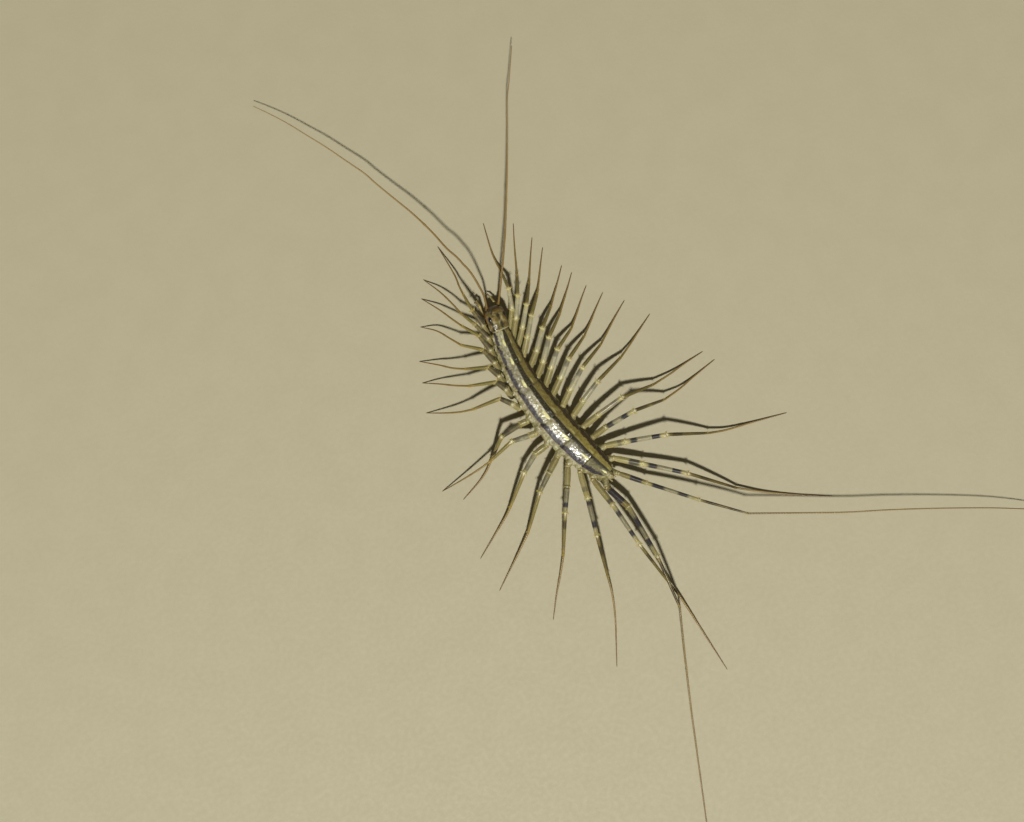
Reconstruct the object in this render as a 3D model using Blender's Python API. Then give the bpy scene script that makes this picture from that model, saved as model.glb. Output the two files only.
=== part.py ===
"""House centipede at life size, standing still: plates, trunk, head, feelers and thirty legs."""
import math
import bpy
import numpy as np

# plan grid the pose is laid out on: one unit is GRID millimetres
GRID = 0.137
PLAN_U, PLAN_V = 512.0, 411.0
PLAN_H = 350.0                 # mm, height above the floor the plan is seen from
ROW_X = (-0.8436, -0.5355)     # the animal's left, in plan (right, up)
ROW_Y = (0.5355, -0.8436)      # toward the tail
SHIFT = (-21.99, 10.737)             # mm, puts the whole about the origin

TILT_MM = 0.001


def plan(px, py, z):
    k = GRID * (1.0 - z / PLAN_H)
    u = (px - PLAN_U) * k
    v = (PLAN_V - py) * k
    return np.array((ROW_X[0] * u + ROW_X[1] * v - SHIFT[0],
                     ROW_Y[0] * u + ROW_Y[1] * v - SHIFT[1], z))


def unplan_dir(du, dv):
    """Plan direction (right, down) as a row direction."""
    v = -dv
    return np.array((ROW_X[0] * du + ROW_X[1] * v, ROW_Y[0] * du + ROW_Y[1] * v, 0.0))


def catmull(P, n):
    P = np.asarray(P, float)
    Q = np.vstack([2 * P[0] - P[1], P, 2 * P[-1] - P[-2]])
    out = []
    for i in range(1, len(Q) - 2):
        a, b, c, d = Q[i - 1], Q[i], Q[i + 1], Q[i + 2]
        for k in range(n):
            t = k / n
            out.append(0.5 * (2 * b + (c - a) * t + (2 * a - 5 * b + 4 * c - d) * t * t
                              + (3 * b - a - 3 * c + d) * t ** 3))
    out.append(Q[-2])
    return np.array(out)


# ---- body line, head first; stations s run along it in plan units
SPINE = ((492.5, 300.5), (498.0, 317.0), (504.8, 342.0), (512.5, 361.1), (524.9, 383.9),
         (547.3, 415.2), (566.1, 437.5), (585.9, 457.8), (604.0, 472.7), (610.0, 478.5),
         (618.0, 485.0))
_C = catmull(SPINE, 40)
_D = np.r_[0.0, np.cumsum(np.hypot(np.diff(_C[:, 0]), np.diff(_C[:, 1])))]
_TX = np.gradient(_C[:, 0])
_TY = np.gradient(_C[:, 1])
_K = np.hypot(_TX, _TY)
_KER = np.ones(61) / 61.0
_TX = np.convolve(np.pad(_TX / _K, 30, mode="edge"), _KER, "valid")
_TY = np.convolve(np.pad(_TY / _K, 30, mode="edge"), _KER, "valid")

# station, centre offset to the right, half width, roll (deg), height of rim plane (mm), arch (mm)
BODY = ((0.0, -2.2, 5.0, 20.0, 2.60, 0.45),
        (6.0, -2.1, 6.4, 20.0, 2.72, 0.52),
        (8.0, -2.0, 8.0, 21.0, 2.82, 0.66),
        (11.0, -1.9, 9.7, 21.5, 2.95, 0.80),
        (16.0, -1.6, 10.9, 22.0, 3.10, 0.88),
        (24.0, -1.1, 10.5, 23.0, 3.20, 0.85),
        (31.0, -0.4, 9.4, 24.0, 3.25, 0.75),
        (40.0, 0.2, 10.3, 24.0, 3.30, 0.80),
        (47.0, 0.6, 10.8, 24.0, 3.35, 0.80),
        (56.0, 1.2, 11.2, 23.0, 3.35, 0.80),
        (67.0, 1.4, 11.7, 22.0, 3.35, 0.80),
        (80.0, 1.5, 12.5, 21.0, 3.35, 0.85),
        (93.5, 1.7, 13.2, 19.0, 3.35, 0.86),
        (112.0, 2.0, 14.1, 18.0, 3.35, 0.86),
        (132.5, 2.3, 14.6, 17.0, 3.35, 0.86),
        (147.0, 2.7, 14.7, 17.0, 3.35, 0.85),
        (161.0, 3.1, 14.7, 16.5, 3.30, 0.83),
        (175.0, 3.4, 14.3, 16.0, 3.25, 0.81),
        (189.0, 3.2, 13.0, 15.0, 3.20, 0.76),
        (200.0, 2.7, 11.2, 14.0, 3.15, 0.70),
        (211.0, 2.6, 8.5, 13.0, 3.10, 0.60),
        (220.0, 2.6, 5.0, 12.0, 3.05, 0.45),
        (228.0, 2.6, 3.0, 12.0, 3.00, 0.40))
_B = np.array(BODY)


def body_row(s):
    return [float(np.interp(s, _B[:, 0], _B[:, k])) for k in range(1, 6)]


def body_frame(s):
    """Origin (mm), right, up, back unit vectors, half width and arch (mm) at station s."""
    off, hw, roll, zr, arch = body_row(s)
    cx = float(np.interp(s, _D, _C[:, 0]))
    cy = float(np.interp(s, _D, _C[:, 1]))
    tx = float(np.interp(s, _D, _TX))
    ty = float(np.interp(s, _D, _TY))
    n = math.hypot(tx, ty)
    tx, ty = tx / n, ty / n
    o = plan(cx + ty * off, cy - tx * off, zr)
    back = unplan_dir(tx, ty)
    back /= np.linalg.norm(back)
    side = unplan_dir(ty, -tx)
    side /= np.linalg.norm(side)
    r = math.radians(roll)
    zed = np.array((0.0, 0.0, 1.0))
    right = side * math.cos(r) - zed * math.sin(r)
    up = zed * math.cos(r) + side * math.sin(r)
    return o, right, up, back, hw * GRID, arch


def body_point(s, lat, h):
    """lat in mm to the right, h in mm above the rim plane, in the body's own rolled frame."""
    o, right, up, back, hw, arch = body_frame(s)
    return o + right * lat + up * h


# tergites: front and rear station of each plate
TERGITES = ((30.5, 47.0), (47.0, 67.5), (67.5, 93.5), (93.5, 132.5), (132.5, 161.0),
            (161.0, 189.0), (189.0, 211.0))

# ---- legs: plan position of hip, prefemur joint, knee, ankle, tarsus bends, tip; heights in mm
# each row: name, joints as (px, py, z)
LEGS = {
    "r01": ((510.0, 332.0, 1.95), (512.0, 308.0, 3.90), (508.5, 288.0, 4.10), (501.0, 271.0, 1.30),
            (496.0, 262.0, 0.70), (491.0, 250.0, 0.40), (483.5, 224.0, 0.25)),
    "r02": ((513.0, 339.5, 1.85), (516.0, 318.0, 3.70), (517.8, 295.0, 3.70), (516.8, 275.0, 1.30),
            (515.4, 258.0, 0.65), (514.2, 242.0, 0.35), (513.3, 224.0, 0.25)),
    "r03": ((518.0, 347.0, 1.95), (522.5, 327.5, 3.15), (526.5, 304.0, 3.05), (529.2, 283.0, 1.20),
            (530.0, 266.0, 0.65), (531.0, 250.0, 0.35), (532.0, 238.0, 0.25)),
    "r04": ((523.5, 356.0, 2.05), (527.5, 337.0, 3.05), (531.5, 315.0, 2.80), (537.5, 293.0, 1.20),
            (539.2, 278.0, 0.65), (540.6, 264.0, 0.35), (542.5, 248.0, 0.25)),
    "r05": ((530.5, 366.5, 2.00), (536.5, 351.0, 3.00), (542.3, 327.5, 2.85), (551.0, 306.0, 1.20),
            (554.5, 293.0, 0.70), (557.8, 281.0, 0.38), (561.5, 266.0, 0.25)),
    "r06": ((537.5, 377.0, 2.00), (543.0, 362.0, 3.00), (549.0, 337.0, 2.80), (560.0, 313.0, 1.20),
            (564.5, 298.0, 0.65), (568.0, 286.0, 0.36), (571.5, 273.0, 0.25)),
    "r07": ((545.5, 386.5, 2.00), (551.0, 368.0, 3.00), (557.5, 349.0, 3.10), (571.5, 328.0, 1.25),
            (576.2, 315.0, 0.68), (581.0, 300.0, 0.36), (586.0, 286.0, 0.25)),
    "r08": ((552.5, 395.5, 2.00), (560.5, 378.0, 3.00), (569.0, 358.5, 3.20), (584.5, 335.5, 1.35),
            (590.0, 323.0, 0.72), (596.0, 308.0, 0.38), (602.5, 293.0, 0.25)),
    "r09": ((563.0, 405.5, 2.00), (570.0, 390.0, 3.00), (582.5, 367.0, 2.95), (601.0, 344.0, 1.35),
            (607.8, 331.0, 0.75), (615.0, 317.0, 0.40), (624.0, 301.0, 0.25)),
    "r10": ((573.5, 415.0, 2.00), (583.0, 401.0, 3.20), (598.0, 381.0, 3.80), (621.5, 356.5, 1.45),
            (631.0, 343.0, 0.80), (640.0, 329.0, 0.42), (649.5, 314.5, 0.25)),
    "r11": ((583.5, 426.5, 2.00), (598.0, 415.0, 3.10), (622.5, 397.0, 3.80), (653.5, 384.5, 1.70),
            (670.0, 374.0, 0.95), (684.0, 364.0, 0.45), (702.0, 352.0, 0.25)),
    "r12": ((593.5, 436.5, 2.00), (606.0, 427.0, 3.40), (634.5, 410.5, 5.50), (664.5, 399.5, 2.25),
            (680.0, 388.5, 1.05), (694.0, 376.5, 0.45), (714.0, 360.0, 0.25)),
    "r13": ((605.0, 446.0, 2.05), (626.0, 441.5, 2.85), (667.0, 434.5, 4.25), (709.0, 433.0, 1.50),
            (726.0, 430.0, 0.95), (750.0, 423.0, 0.45), (786.0, 413.0, 0.25)),
    "r14": ((613.0, 458.0, 2.15), (644.0, 464.0, 2.55), (688.5, 473.5, 3.35), (737.0, 488.0, 0.90),
            (765.0, 492.0, 0.50), (795.0, 494.5, 0.34), (832.0, 496.0, 0.25)),
    "r15": ((618.0, 473.0, 2.55), (647.0, 483.0, 2.95), (700.0, 500.0, 4.60), (748.5, 513.5, 4.85),
            (805.0, 513.0, 4.65), (848.0, 512.3, 4.35), (889.0, 510.0, 4.10), (939.0, 508.4, 3.75),
            (992.0, 508.0, 3.20), (1030.0, 509.0, 2.30), (1062.0, 508.5, 0.70), (1080.0, 508.0, 0.25)),
    "l01": ((490.2, 339.6, 3.00), (483.2, 325.6, 4.50), (472.3, 310.3, 4.60), (463.0, 294.0, 3.60),
            (459.0, 286.0, 3.10), (454.0, 274.0, 2.00), (438.0, 247.0, 0.25)),
    "l02": ((492.6, 349.3, 3.00), (488.2, 338.4, 4.55), (475.0, 324.4, 4.60), (461.0, 313.5, 3.60),
            (452.0, 303.5, 3.00), (440.0, 292.0, 1.90), (424.0, 280.0, 0.25)),
    "l03": ((495.8, 360.2, 3.00), (490.5, 350.0, 4.70), (479.0, 335.6, 4.60), (462.0, 326.0, 3.60),
            (452.0, 319.0, 3.00), (439.0, 309.5, 1.90), (422.0, 299.0, 0.25)),
    "l04": ((500.2, 371.8, 3.00), (494.5, 362.5, 4.80), (482.6, 349.6, 4.60), (461.0, 345.0, 3.60),
            (450.0, 338.5, 3.00), (437.0, 331.0, 1.90), (421.0, 327.0, 0.25)),
    "l05": ((505.2, 384.0, 3.00), (499.0, 376.0, 4.85), (488.5, 367.3, 4.60), (465.0, 369.0, 3.60),
            (452.0, 368.0, 2.90), (439.0, 365.0, 1.85), (420.0, 361.5, 0.25)),
    "l06": ((512.0, 396.8, 3.00), (506.0, 389.5, 4.85), (496.0, 382.0, 4.60), (469.0, 386.0, 3.50),
            (454.0, 385.5, 2.80), (440.0, 384.0, 1.75), (423.0, 383.0, 0.25)),
    "l07": ((519.2, 408.2, 3.00), (512.5, 404.0, 4.90), (500.0, 398.5, 4.50), (472.5, 409.5, 3.30),
            (460.0, 412.0, 2.60), (445.0, 413.0, 1.60), (427.0, 413.0, 0.25)),
    "l08": ((528.4, 420.6, 2.80), (520.0, 424.3, 2.70), (501.5, 436.8, 4.20), (491.7, 459.5, 0.95),
            (487.0, 470.0, 0.55), (479.0, 482.0, 0.32), (464.0, 499.0, 0.25)),
    "l09": ((536.8, 433.0, 2.80), (530.0, 435.5, 2.60), (511.5, 441.5, 4.15), (489.5, 462.0, 3.00),
            (475.0, 472.0, 2.30), (462.0, 480.0, 1.50), (443.0, 491.0, 0.25)),
    "l10": ((546.8, 445.2, 2.85), (535.0, 454.0, 2.65), (524.0, 473.0, 3.45), (510.0, 508.0, 1.35),
            (505.0, 518.0, 0.85), (496.0, 533.0, 0.42), (481.0, 558.0, 0.25)),
    "l11": ((557.5, 456.5, 3.00), (549.0, 473.0, 3.35), (540.0, 492.0, 3.40), (528.0, 533.0, 1.30),
            (518.0, 554.0, 0.80), (510.0, 570.0, 0.42), (500.0, 590.0, 0.25)),
    "l12": ((567.8, 465.5, 3.00), (567.2, 487.0, 3.70), (565.3, 513.0, 3.80), (563.4, 556.0, 1.30),
            (560.4, 575.0, 0.80), (556.5, 596.0, 0.42), (553.5, 619.0, 0.25)),
    "l13": ((580.0, 471.5, 3.00), (588.0, 499.0, 4.00), (597.0, 536.0, 4.40), (608.0, 577.0, 1.50),
            (612.5, 595.0, 0.90), (615.6, 620.0, 0.45), (617.0, 666.0, 0.25)),
    "l14": ((592.5, 479.0, 3.00), (613.0, 505.0, 3.60), (640.0, 545.0, 4.10), (670.0, 584.0, 1.50),
            (681.0, 598.0, 0.95), (700.0, 627.0, 0.45), (727.0, 669.0, 0.25)),
    "l15": ((606.5, 487.0, 2.90), (629.0, 507.0, 3.30), (658.0, 557.0, 4.60), (680.0, 608.0, 3.40),
            (682.5, 632.0, 3.10), (685.5, 660.0, 2.90), (692.0, 715.0, 2.60), (698.0, 759.0, 2.30),
            (706.0, 817.0, 1.80), (713.0, 870.0, 1.00), (718.0, 912.0, 0.35), (720.5, 932.0, 0.25)),
}

# ---- antennae: base, then along the flagellum; the tenth or so point is the node between its two parts
ANTENNAE = {
    "l": ((486.5, 307.9, 2.82), (485.8, 303.0, 3.30), (483.4, 294.5, 4.10), (479.0, 286.0, 4.80), (475.0, 279.0, 5.40),
          (471.0, 273.0, 5.90), (467.0, 268.0, 6.20), (463.0, 264.0, 6.35), (460.0, 260.5, 6.40),
          (455.0, 255.5, 6.40), (446.0, 247.6, 6.20), (431.0, 231.0, 5.70), (412.0, 213.0, 5.20),
          (393.0, 197.5, 4.80), (376.0, 183.5, 4.50), (364.0, 173.0, 4.30), (345.0, 160.0, 4.00),
          (326.0, 147.0, 3.70), (306.5, 135.0, 3.30), (287.0, 123.0, 2.80), (268.0, 113.0, 2.30),
          (253.0, 106.0, 1.90)),
    "r": ((498.0, 304.2, 2.55), (498.8, 300.0, 2.98), (500.0, 289.5, 3.90), (501.2, 278.0, 4.50),
          (502.2, 268.0, 4.80), (503.2, 258.0, 5.00), (504.2, 245.0, 5.10), (505.2, 232.0, 5.10),
          (505.9, 212.0, 5.00), (506.5, 193.0, 4.90), (507.1, 174.0, 4.80), (507.3, 155.0, 4.60),
          (507.5, 136.0, 4.40), (507.3, 116.0, 4.20), (507.5, 97.0, 4.00), (509.0, 82.0, 3.80),
          (510.1, 67.0, 3.50), (511.1, 54.0, 3.20), (511.7, 45.5, 2.95)),
}

# ---- how thick the solids are, millimetres
LIMB_MIN = 0.29          # corner radius of a six-sided limb half a millimetre across its flats
FLAT = math.sqrt(3.0) / 2.0
FOOT_LEN = 0.8           # length of the flat each foot stands on
ANTENNA_RINGS = 11
PLATE_CROWN = 0.45
PLATE_RIM = 0.34
PLATE_GAP = 0.12         # between a plate and the trunk under it
TRUNK_SIDE = 0.78        # trunk half width under the plates, as a share of the plate's
TRUNK_FLANK = 0.93       # the same lower down, where the flanks swell out to the hips
TRUNK_BELLY = 1.55       # below the rim plane
HIP_GAP = 0.13
TAIL_AT = 213.8
EYE_AT = 18.5            # station of the eyes
EYE_R = (0.46, 0.27, 0.34)
HEAD_DEPTH = 0.85

# hips: station and side share where each pair of legs leaves the trunk
PAIR_AT = (36.0, 45.0, 55.0, 66.5, 79.0, 92.0, 105.0, 118.5, 133.0, 147.5, 162.5, 176.5, 190.5,
           203.0, 210.5)


def trunk_share(s):
    """The trunk is narrower under the small front plates."""
    return TRUNK_SIDE - 0.10 * max(0.0, min(1.0, (60.0 - s) / 20.0))


def flank_share(s):
    """How far the flanks stand out, less under the front plates and at the tail."""
    front = max(0.0, min(1.0, (78.0 - s) / 32.0))
    tail = max(0.0, min(1.0, (s - 188.0) / 12.0))
    return TRUNK_FLANK - (TRUNK_FLANK - TRUNK_SIDE + 0.10) * front - (TRUNK_FLANK - TRUNK_SIDE) * tail


def limb_radius(part, pair):
    """Corner radius of a limb part, thicker toward the rear pairs."""
    g = (pair - 1) / 14.0
    coxa = 0.33 + 0.13 * math.sin(math.pi * g)
    pre = 0.33 + 0.09 * math.sin(math.pi * min(1.0, g * 1.25))
    return {"root": coxa, "hip": pre, "pf": pre * 0.92, "knee": 0.30, "ankle": LIMB_MIN,
            "tarsus": LIMB_MIN}[part]


def leg_path(name):
    side = -1.0 if name[0] == "l" else 1.0
    pair = int(name[1:])
    s = PAIR_AT[pair - 1]
    o, right, up, back, hw, arch = body_frame(s)
    lat = side * (flank_share(s) * hw + HIP_GAP)
    low = -0.95 if pair < 14 else -0.80
    root = body_point(s, lat, low)
    face = right * side
    if pair == 15:                            # the last pair leaves from the trunk's rear face
        root = body_point(TAIL_AT, side * 0.62, -0.82)
        face = back
    joints = [plan(*q) for q in LEGS[name]]
    tip = joints[-1].copy()
    prev = joints[-2]
    run = tip - prev
    run[2] = 0.0
    run /= np.linalg.norm(run)
    land = tip - run * FOOT_LEN
    land[2] = tip[2]
    pts = [root] + joints[:-1] + [land, tip]
    rad = [limb_radius("root", pair), limb_radius("hip", pair), limb_radius("pf", pair),
           limb_radius("knee", pair), limb_radius("ankle", pair)]
    rad += [limb_radius("tarsus", pair)] * (len(pts) - len(rad))
    rad[-1] = rad[-2] = 0.25 / FLAT
    return pts, rad, face


# ------------------------------------------------------------------ mesh helpers
def clear():
    for ob in list(bpy.data.objects):
        bpy.data.objects.remove(ob, do_unlink=True)


def material(name, rgb, rough):
    m = bpy.data.materials.new(name)
    m.use_nodes = True
    b = m.node_tree.nodes["Principled BSDF"]
    b.inputs["Base Color"].default_value = (rgb[0], rgb[1], rgb[2], 1.0)
    b.inputs["Roughness"].default_value = rough
    return m


def solid(name, verts, faces, rgb, rough=0.45):
    me = bpy.data.meshes.new(name)
    me.from_pydata([tuple(float(c) * TILT_MM for c in v) for v in verts], [], faces)
    me.validate()
    me.update()
    ob = bpy.data.objects.new(name, me)
    bpy.context.scene.collection.objects.link(ob)
    ob.data.materials.append(material(name + "_mat", rgb, rough))
    return ob


def loft(rings, cap0=True, cap1=True):
    """Closed body through equal rings, each run counter-clockwise seen from its far end."""
    n = len(rings[0])
    verts = [v for r in rings for v in r]
    faces = []
    for i in range(len(rings) - 1):
        a, b = i * n, (i + 1) * n
        for k in range(n):
            k2 = (k + 1) % n
            faces.append((a + k, a + k2, b + k2))
            faces.append((a + k, b + k2, b + k))
    if cap0:
        c = len(verts)
        verts.append(np.mean(rings[0], axis=0))
        faces += [(c, (k + 1) % n, k) for k in range(n)]
    if cap1:
        c = len(verts)
        base = (len(rings) - 1) * n
        verts.append(np.mean(rings[-1], axis=0))
        faces += [(c, base + k, base + (k + 1) % n) for k in range(n)]
    return verts, faces


def tube(pts, rad, n=6, start=None):
    rings = []
    m = len(pts)
    for i, p in enumerate(pts):
        if i == 0:
            t = pts[1] - pts[0] if start is None else start
        elif i == m - 1:
            t = pts[-1] - pts[-2]
        else:
            a = pts[i] - pts[i - 1]
            b = pts[i + 1] - pts[i]
            t = a / np.linalg.norm(a) + b / np.linalg.norm(b)
        if i >= m - 2 and abs(pts[-1][2] - pts[-2][2]) < 1e-9:
            t = pts[-1] - pts[-2]
        t = t / np.linalg.norm(t)
        s = np.cross((0.0, 0.0, 1.0), t)
        s /= np.linalg.norm(s)
        u = np.cross(t, s)
        ring = []
        for k in range(n):
            w = 2.0 * math.pi * k / n
            ring.append(p + s * (math.cos(w) * rad[i]) + u * (math.sin(w) * rad[i]))
        rings.append(ring)
    return loft(rings)


def ball(centre, ax, ay, az, r, seg=8, rows=5):
    """Faceted egg with half lengths r along the three given directions."""
    verts = [centre - ax * r[0]]
    for j in range(1, rows):
        w = math.pi * j / rows
        for k in range(seg):
            q = 2.0 * math.pi * k / seg
            verts.append(centre - ax * (r[0] * math.cos(w)) + ay * (r[1] * math.sin(w) * math.cos(q))
                         + az * (r[2] * math.sin(w) * math.sin(q)))
    verts.append(centre + ax * r[0])
    last = len(verts) - 1
    faces = []
    for k in range(seg):
        k2 = (k + 1) % seg
        faces.append((0, 1 + k2, 1 + k))
        for j in range(rows - 2):
            a, b = 1 + j * seg, 1 + (j + 1) * seg
            faces.append((a + k, a + k2, b + k2))
            faces.append((a + k, b + k2, b + k))
        a = 1 + (rows - 2) * seg
        faces.append((a + k, a + k2, last))
    return verts, faces


def outward(ob):
    """Turn the faces of a closed body to look outward."""
    me = ob.data
    vol = 0.0
    for f in me.polygons:
        a, b, c = [me.vertices[i].co for i in f.vertices]
        vol += a.dot(b.cross(c)) / 6.0
    if vol < 0.0:
        me.flip_normals()
    return ob


# ------------------------------------------------------------------ the animal
def make_tergite(i, s0, s1):
    cols = 10
    first = i == 0
    rows = 4 if s1 - s0 < 30.0 else 5
    top, low = [], []
    span = s1 - s0 - 1.4
    for r in range(rows + 1):
        w = r / rows
        s = s0 + 0.7 + span * w
        o, right, up, back, hw, arch = body_frame(s)
        lift = 0.10 * w                       # each plate rises a little toward its rear edge
        trim = 1.0 if w < 0.8 else 1.0 - 0.10 * (w - 0.8) / 0.2
        if first and r == 0:
            trim = 0.93
        t_row, l_row = [], []
        for c in range(cols + 1):
            x = -1.0 + 2.0 * c / cols
            lat = hw * trim * x
            crown = arch * (1.0 - x * x) + lift
            thick = PLATE_RIM + (PLATE_CROWN - PLATE_RIM) * (1.0 - x * x)
            notch = -back * (0.22 * x * x if w > 0.99 else 0.0)
            t_row.append(o + right * lat + up * crown + notch)
            l_row.append(o + right * (lat * 0.97) + up * (crown - thick) + notch)
        top.append(t_row)
        low.append(l_row)
    verts, faces = [], []
    for grid in (top, low):
        for row in grid:
            verts += row
    n = cols + 1
    half = (rows + 1) * n
    for r in range(rows):
        for c in range(cols):
            a, b = r * n + c, r * n + c + 1
            d, e = (r + 1) * n + c, (r + 1) * n + c + 1
            faces += [(a, b, e), (a, e, d), (half + a, half + e, half + b), (half + a, half + d, half + e)]
    for c in range(cols):
        a, b = c, c + 1
        faces += [(a, half + b, b), (a, half + a, half + b)]
        a, b = rows * n + c, rows * n + c + 1
        faces += [(a, b, half + b), (a, half + b, half + a)]
    for r in range(rows):
        a, b = r * n, (r + 1) * n
        faces += [(a, b, half + b), (a, half + b, half + a)]
        a, b = r * n + cols, (r + 1) * n + cols
        faces += [(a, half + b, b), (a, half + a, half + b)]
    return outward(solid("tergite_%d" % (i + 1), verts, faces, (0.24, 0.21, 0.13), 0.3))


def trunk_ring(s, shrink=1.0):
    o, right, up, back, hw, arch = body_frame(s)
    w = trunk_share(s) * hw * shrink
    roof = PLATE_CROWN + PLATE_GAP
    prof = []
    for x in (-0.92, -0.62, -0.3, 0.0, 0.3, 0.62, 0.92):
        lat = w * x
        prof.append((lat, arch * (1.0 - (lat / hw) ** 2) - roof))
    q = flank_share(s) * hw * shrink
    prof += [(0.5 * (w + q), -0.55), (q, -0.80), (q, -1.12), (0.70 * w, -1.42), (0.0, -TRUNK_BELLY),
             (-0.70 * w, -1.42), (-q, -1.12), (-q, -0.80), (-0.5 * (w + q), -0.55)]
    return [o + right * a + up * b for a, b in prof]


def make_trunk():
    stations = [32.5, 40.0, 50.0, 62.0, 76.0, 92.0, 110.0, 130.0, 150.0, 170.0, 188.0, 202.0, 212.5]
    rings = [trunk_ring(s, 0.9 if k in (0, len(stations) - 1) else 1.0) for k, s in enumerate(stations)]
    v, f = loft(rings)
    return outward(solid("trunk", v, f, (0.42, 0.36, 0.21), 0.55))


def make_head():
    rings = []
    n = 12
    for s in (6.6, 8.2, 10.5, 13.2, 16.0, 18.5, 21.0, 24.5, 27.5, 29.6):
        o, right, up, back, hw, arch = body_frame(s)
        w = hw
        if s < 7.0:
            w *= 0.8
        if s > 29.0:
            w *= 0.85
        w -= 0.56 * math.exp(-((s - EYE_AT) / 4.2) ** 4)
        deep = HEAD_DEPTH * (0.62 if s < 7.0 else 1.0)
        ring = []
        for k in range(n):
            q = 2.0 * math.pi * k / n
            x, z = math.cos(q), math.sin(q)
            x = math.copysign(abs(x) ** 0.85, x)
            z = z * (arch if z > 0.0 else deep)
            ring.append(o + right * (w * x) + up * z)
        rings.append(ring)
    v, f = loft(rings)
    return outward(solid("head", v, f, (0.33, 0.23, 0.10), 0.35))


def make_eye(side, name):
    o, right, up, back, hw, arch = body_frame(EYE_AT)
    c = o + right * (side * (hw - 0.22)) + up * 0.10
    v, f = ball(c, back, right, up, EYE_R)
    return outward(solid(name, v, f, (0.02, 0.02, 0.05), 0.15))


def make_forcipule(side, name):
    pts = [body_point(29.0, side * 0.90, -1.24), body_point(23.0, side * 1.10, -1.26),
           body_point(16.0, side * 1.04, -1.24), body_point(10.5, side * 0.72, -1.20),
           body_point(7.2, side * 0.34, -1.14)]
    v, f = tube(pts, [0.30, 0.30, 0.30, LIMB_MIN, LIMB_MIN])
    return outward(solid(name, v, f, (0.36, 0.20, 0.07), 0.3))


PALPS = {
    "palp_l": ((482.7, 314.0, 2.30), (479.4, 305.6, 2.45), (476.4, 301.4, 1.90), (474.4, 303.0, 1.05)),
    "palp_r": ((496.2, 303.6, 1.50), (493.4, 300.9, 1.75), (490.0, 296.4, 1.35), (486.9, 293.7, 0.80)),
}


def make_palp(name):
    pts = [plan(*q) for q in PALPS[name]]
    v, f = tube(pts, [0.31, 0.30, LIMB_MIN, LIMB_MIN])
    return outward(solid(name, v, f, (0.47, 0.36, 0.14), 0.4))


def make_antenna(side):
    path = catmull([plan(*q) for q in ANTENNAE[side]], 8)
    run = np.r_[0.0, np.cumsum(np.linalg.norm(np.diff(path, axis=0), axis=1))]
    at = run[-1] * np.linspace(0.0, 1.0, ANTENNA_RINGS + 1) ** 1.15
    pts = [np.array([np.interp(a, run, path[:, k]) for k in range(3)]) for a in at]
    v, f = tube(pts, [0.30] + [LIMB_MIN] * (len(pts) - 1))
    return outward(solid("antenna_" + side, v, f, (0.38, 0.20, 0.06), 0.4))


def make_telson():
    rings = []
    for s, w, a, b in ((214.4, 0.40, 0.20, -0.32), (217.5, 0.34, 0.16, -0.36), (220.5, 0.27, 0.10, -0.42)):
        o, right, up, back, hw, arch = body_frame(s)
        prof = [(-w, -0.10), (-0.6 * w, a), (0.6 * w, a), (w, -0.10), (0.6 * w, b), (-0.6 * w, b)]
        rings.append([o + right * x + up * z for x, z in prof])
    v, f = loft(rings)
    return outward(solid("telson", v, f, (0.40, 0.31, 0.13), 0.45))


def make_leg(name):
    pts, rad, out = leg_path(name)
    v, f = tube(pts, rad, start=out)
    return outward(solid("leg_" + name, v, f, (0.45, 0.38, 0.16), 0.45))


def main():
    clear()
    make_trunk()
    for i, (a, b) in enumerate(TERGITES):
        make_tergite(i, a, b)
    make_head()
    make_eye(-1.0, "eye_l")
    make_eye(1.0, "eye_r")
    make_forcipule(-1.0, "forcipule_l")
    make_forcipule(1.0, "forcipule_r")
    for name in sorted(PALPS):
        make_palp(name)
    for side in ("l", "r"):
        make_antenna(side)
    make_telson()
    for name in sorted(LEGS):
        make_leg(name)
    bpy.context.view_layer.update()


main()
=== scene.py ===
import math
import bpy
import numpy as np
from mathutils import Matrix, Vector, noise
from mathutils.kdtree import KDTree


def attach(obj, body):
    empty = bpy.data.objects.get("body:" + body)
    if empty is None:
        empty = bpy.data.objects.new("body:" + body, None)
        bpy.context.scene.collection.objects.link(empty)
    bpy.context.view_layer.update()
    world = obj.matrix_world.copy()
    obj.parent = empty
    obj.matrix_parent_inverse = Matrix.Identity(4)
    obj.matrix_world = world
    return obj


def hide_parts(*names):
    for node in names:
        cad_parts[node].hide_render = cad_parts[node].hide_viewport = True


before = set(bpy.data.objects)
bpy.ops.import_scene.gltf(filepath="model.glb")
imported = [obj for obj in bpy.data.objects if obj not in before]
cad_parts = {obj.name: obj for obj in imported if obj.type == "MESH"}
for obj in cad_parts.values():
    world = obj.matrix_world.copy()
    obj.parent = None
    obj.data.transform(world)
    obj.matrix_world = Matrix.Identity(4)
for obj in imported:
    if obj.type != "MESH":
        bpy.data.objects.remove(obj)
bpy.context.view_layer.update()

# ====================================================================== the pose, as in the solids
# plan grid the pose is laid out on: one unit is GRID millimetres
GRID = 0.137
PLAN_U, PLAN_V = 512.0, 411.0
PLAN_H = 350.0                 # mm, height above the floor the plan is seen from
ROW_X = (-0.8436, -0.5355)     # the animal's left, in plan (right, up)
ROW_Y = (0.5355, -0.8436)      # toward the tail
SHIFT = (-21.99, 10.737)             # mm, puts the whole about the origin



def plan(px, py, z):
    k = GRID * (1.0 - z / PLAN_H)
    u = (px - PLAN_U) * k
    v = (PLAN_V - py) * k
    return np.array((ROW_X[0] * u + ROW_X[1] * v - SHIFT[0],
                     ROW_Y[0] * u + ROW_Y[1] * v - SHIFT[1], z))


def unplan_dir(du, dv):
    """Plan direction (right, down) as a row direction."""
    v = -dv
    return np.array((ROW_X[0] * du + ROW_X[1] * v, ROW_Y[0] * du + ROW_Y[1] * v, 0.0))


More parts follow.
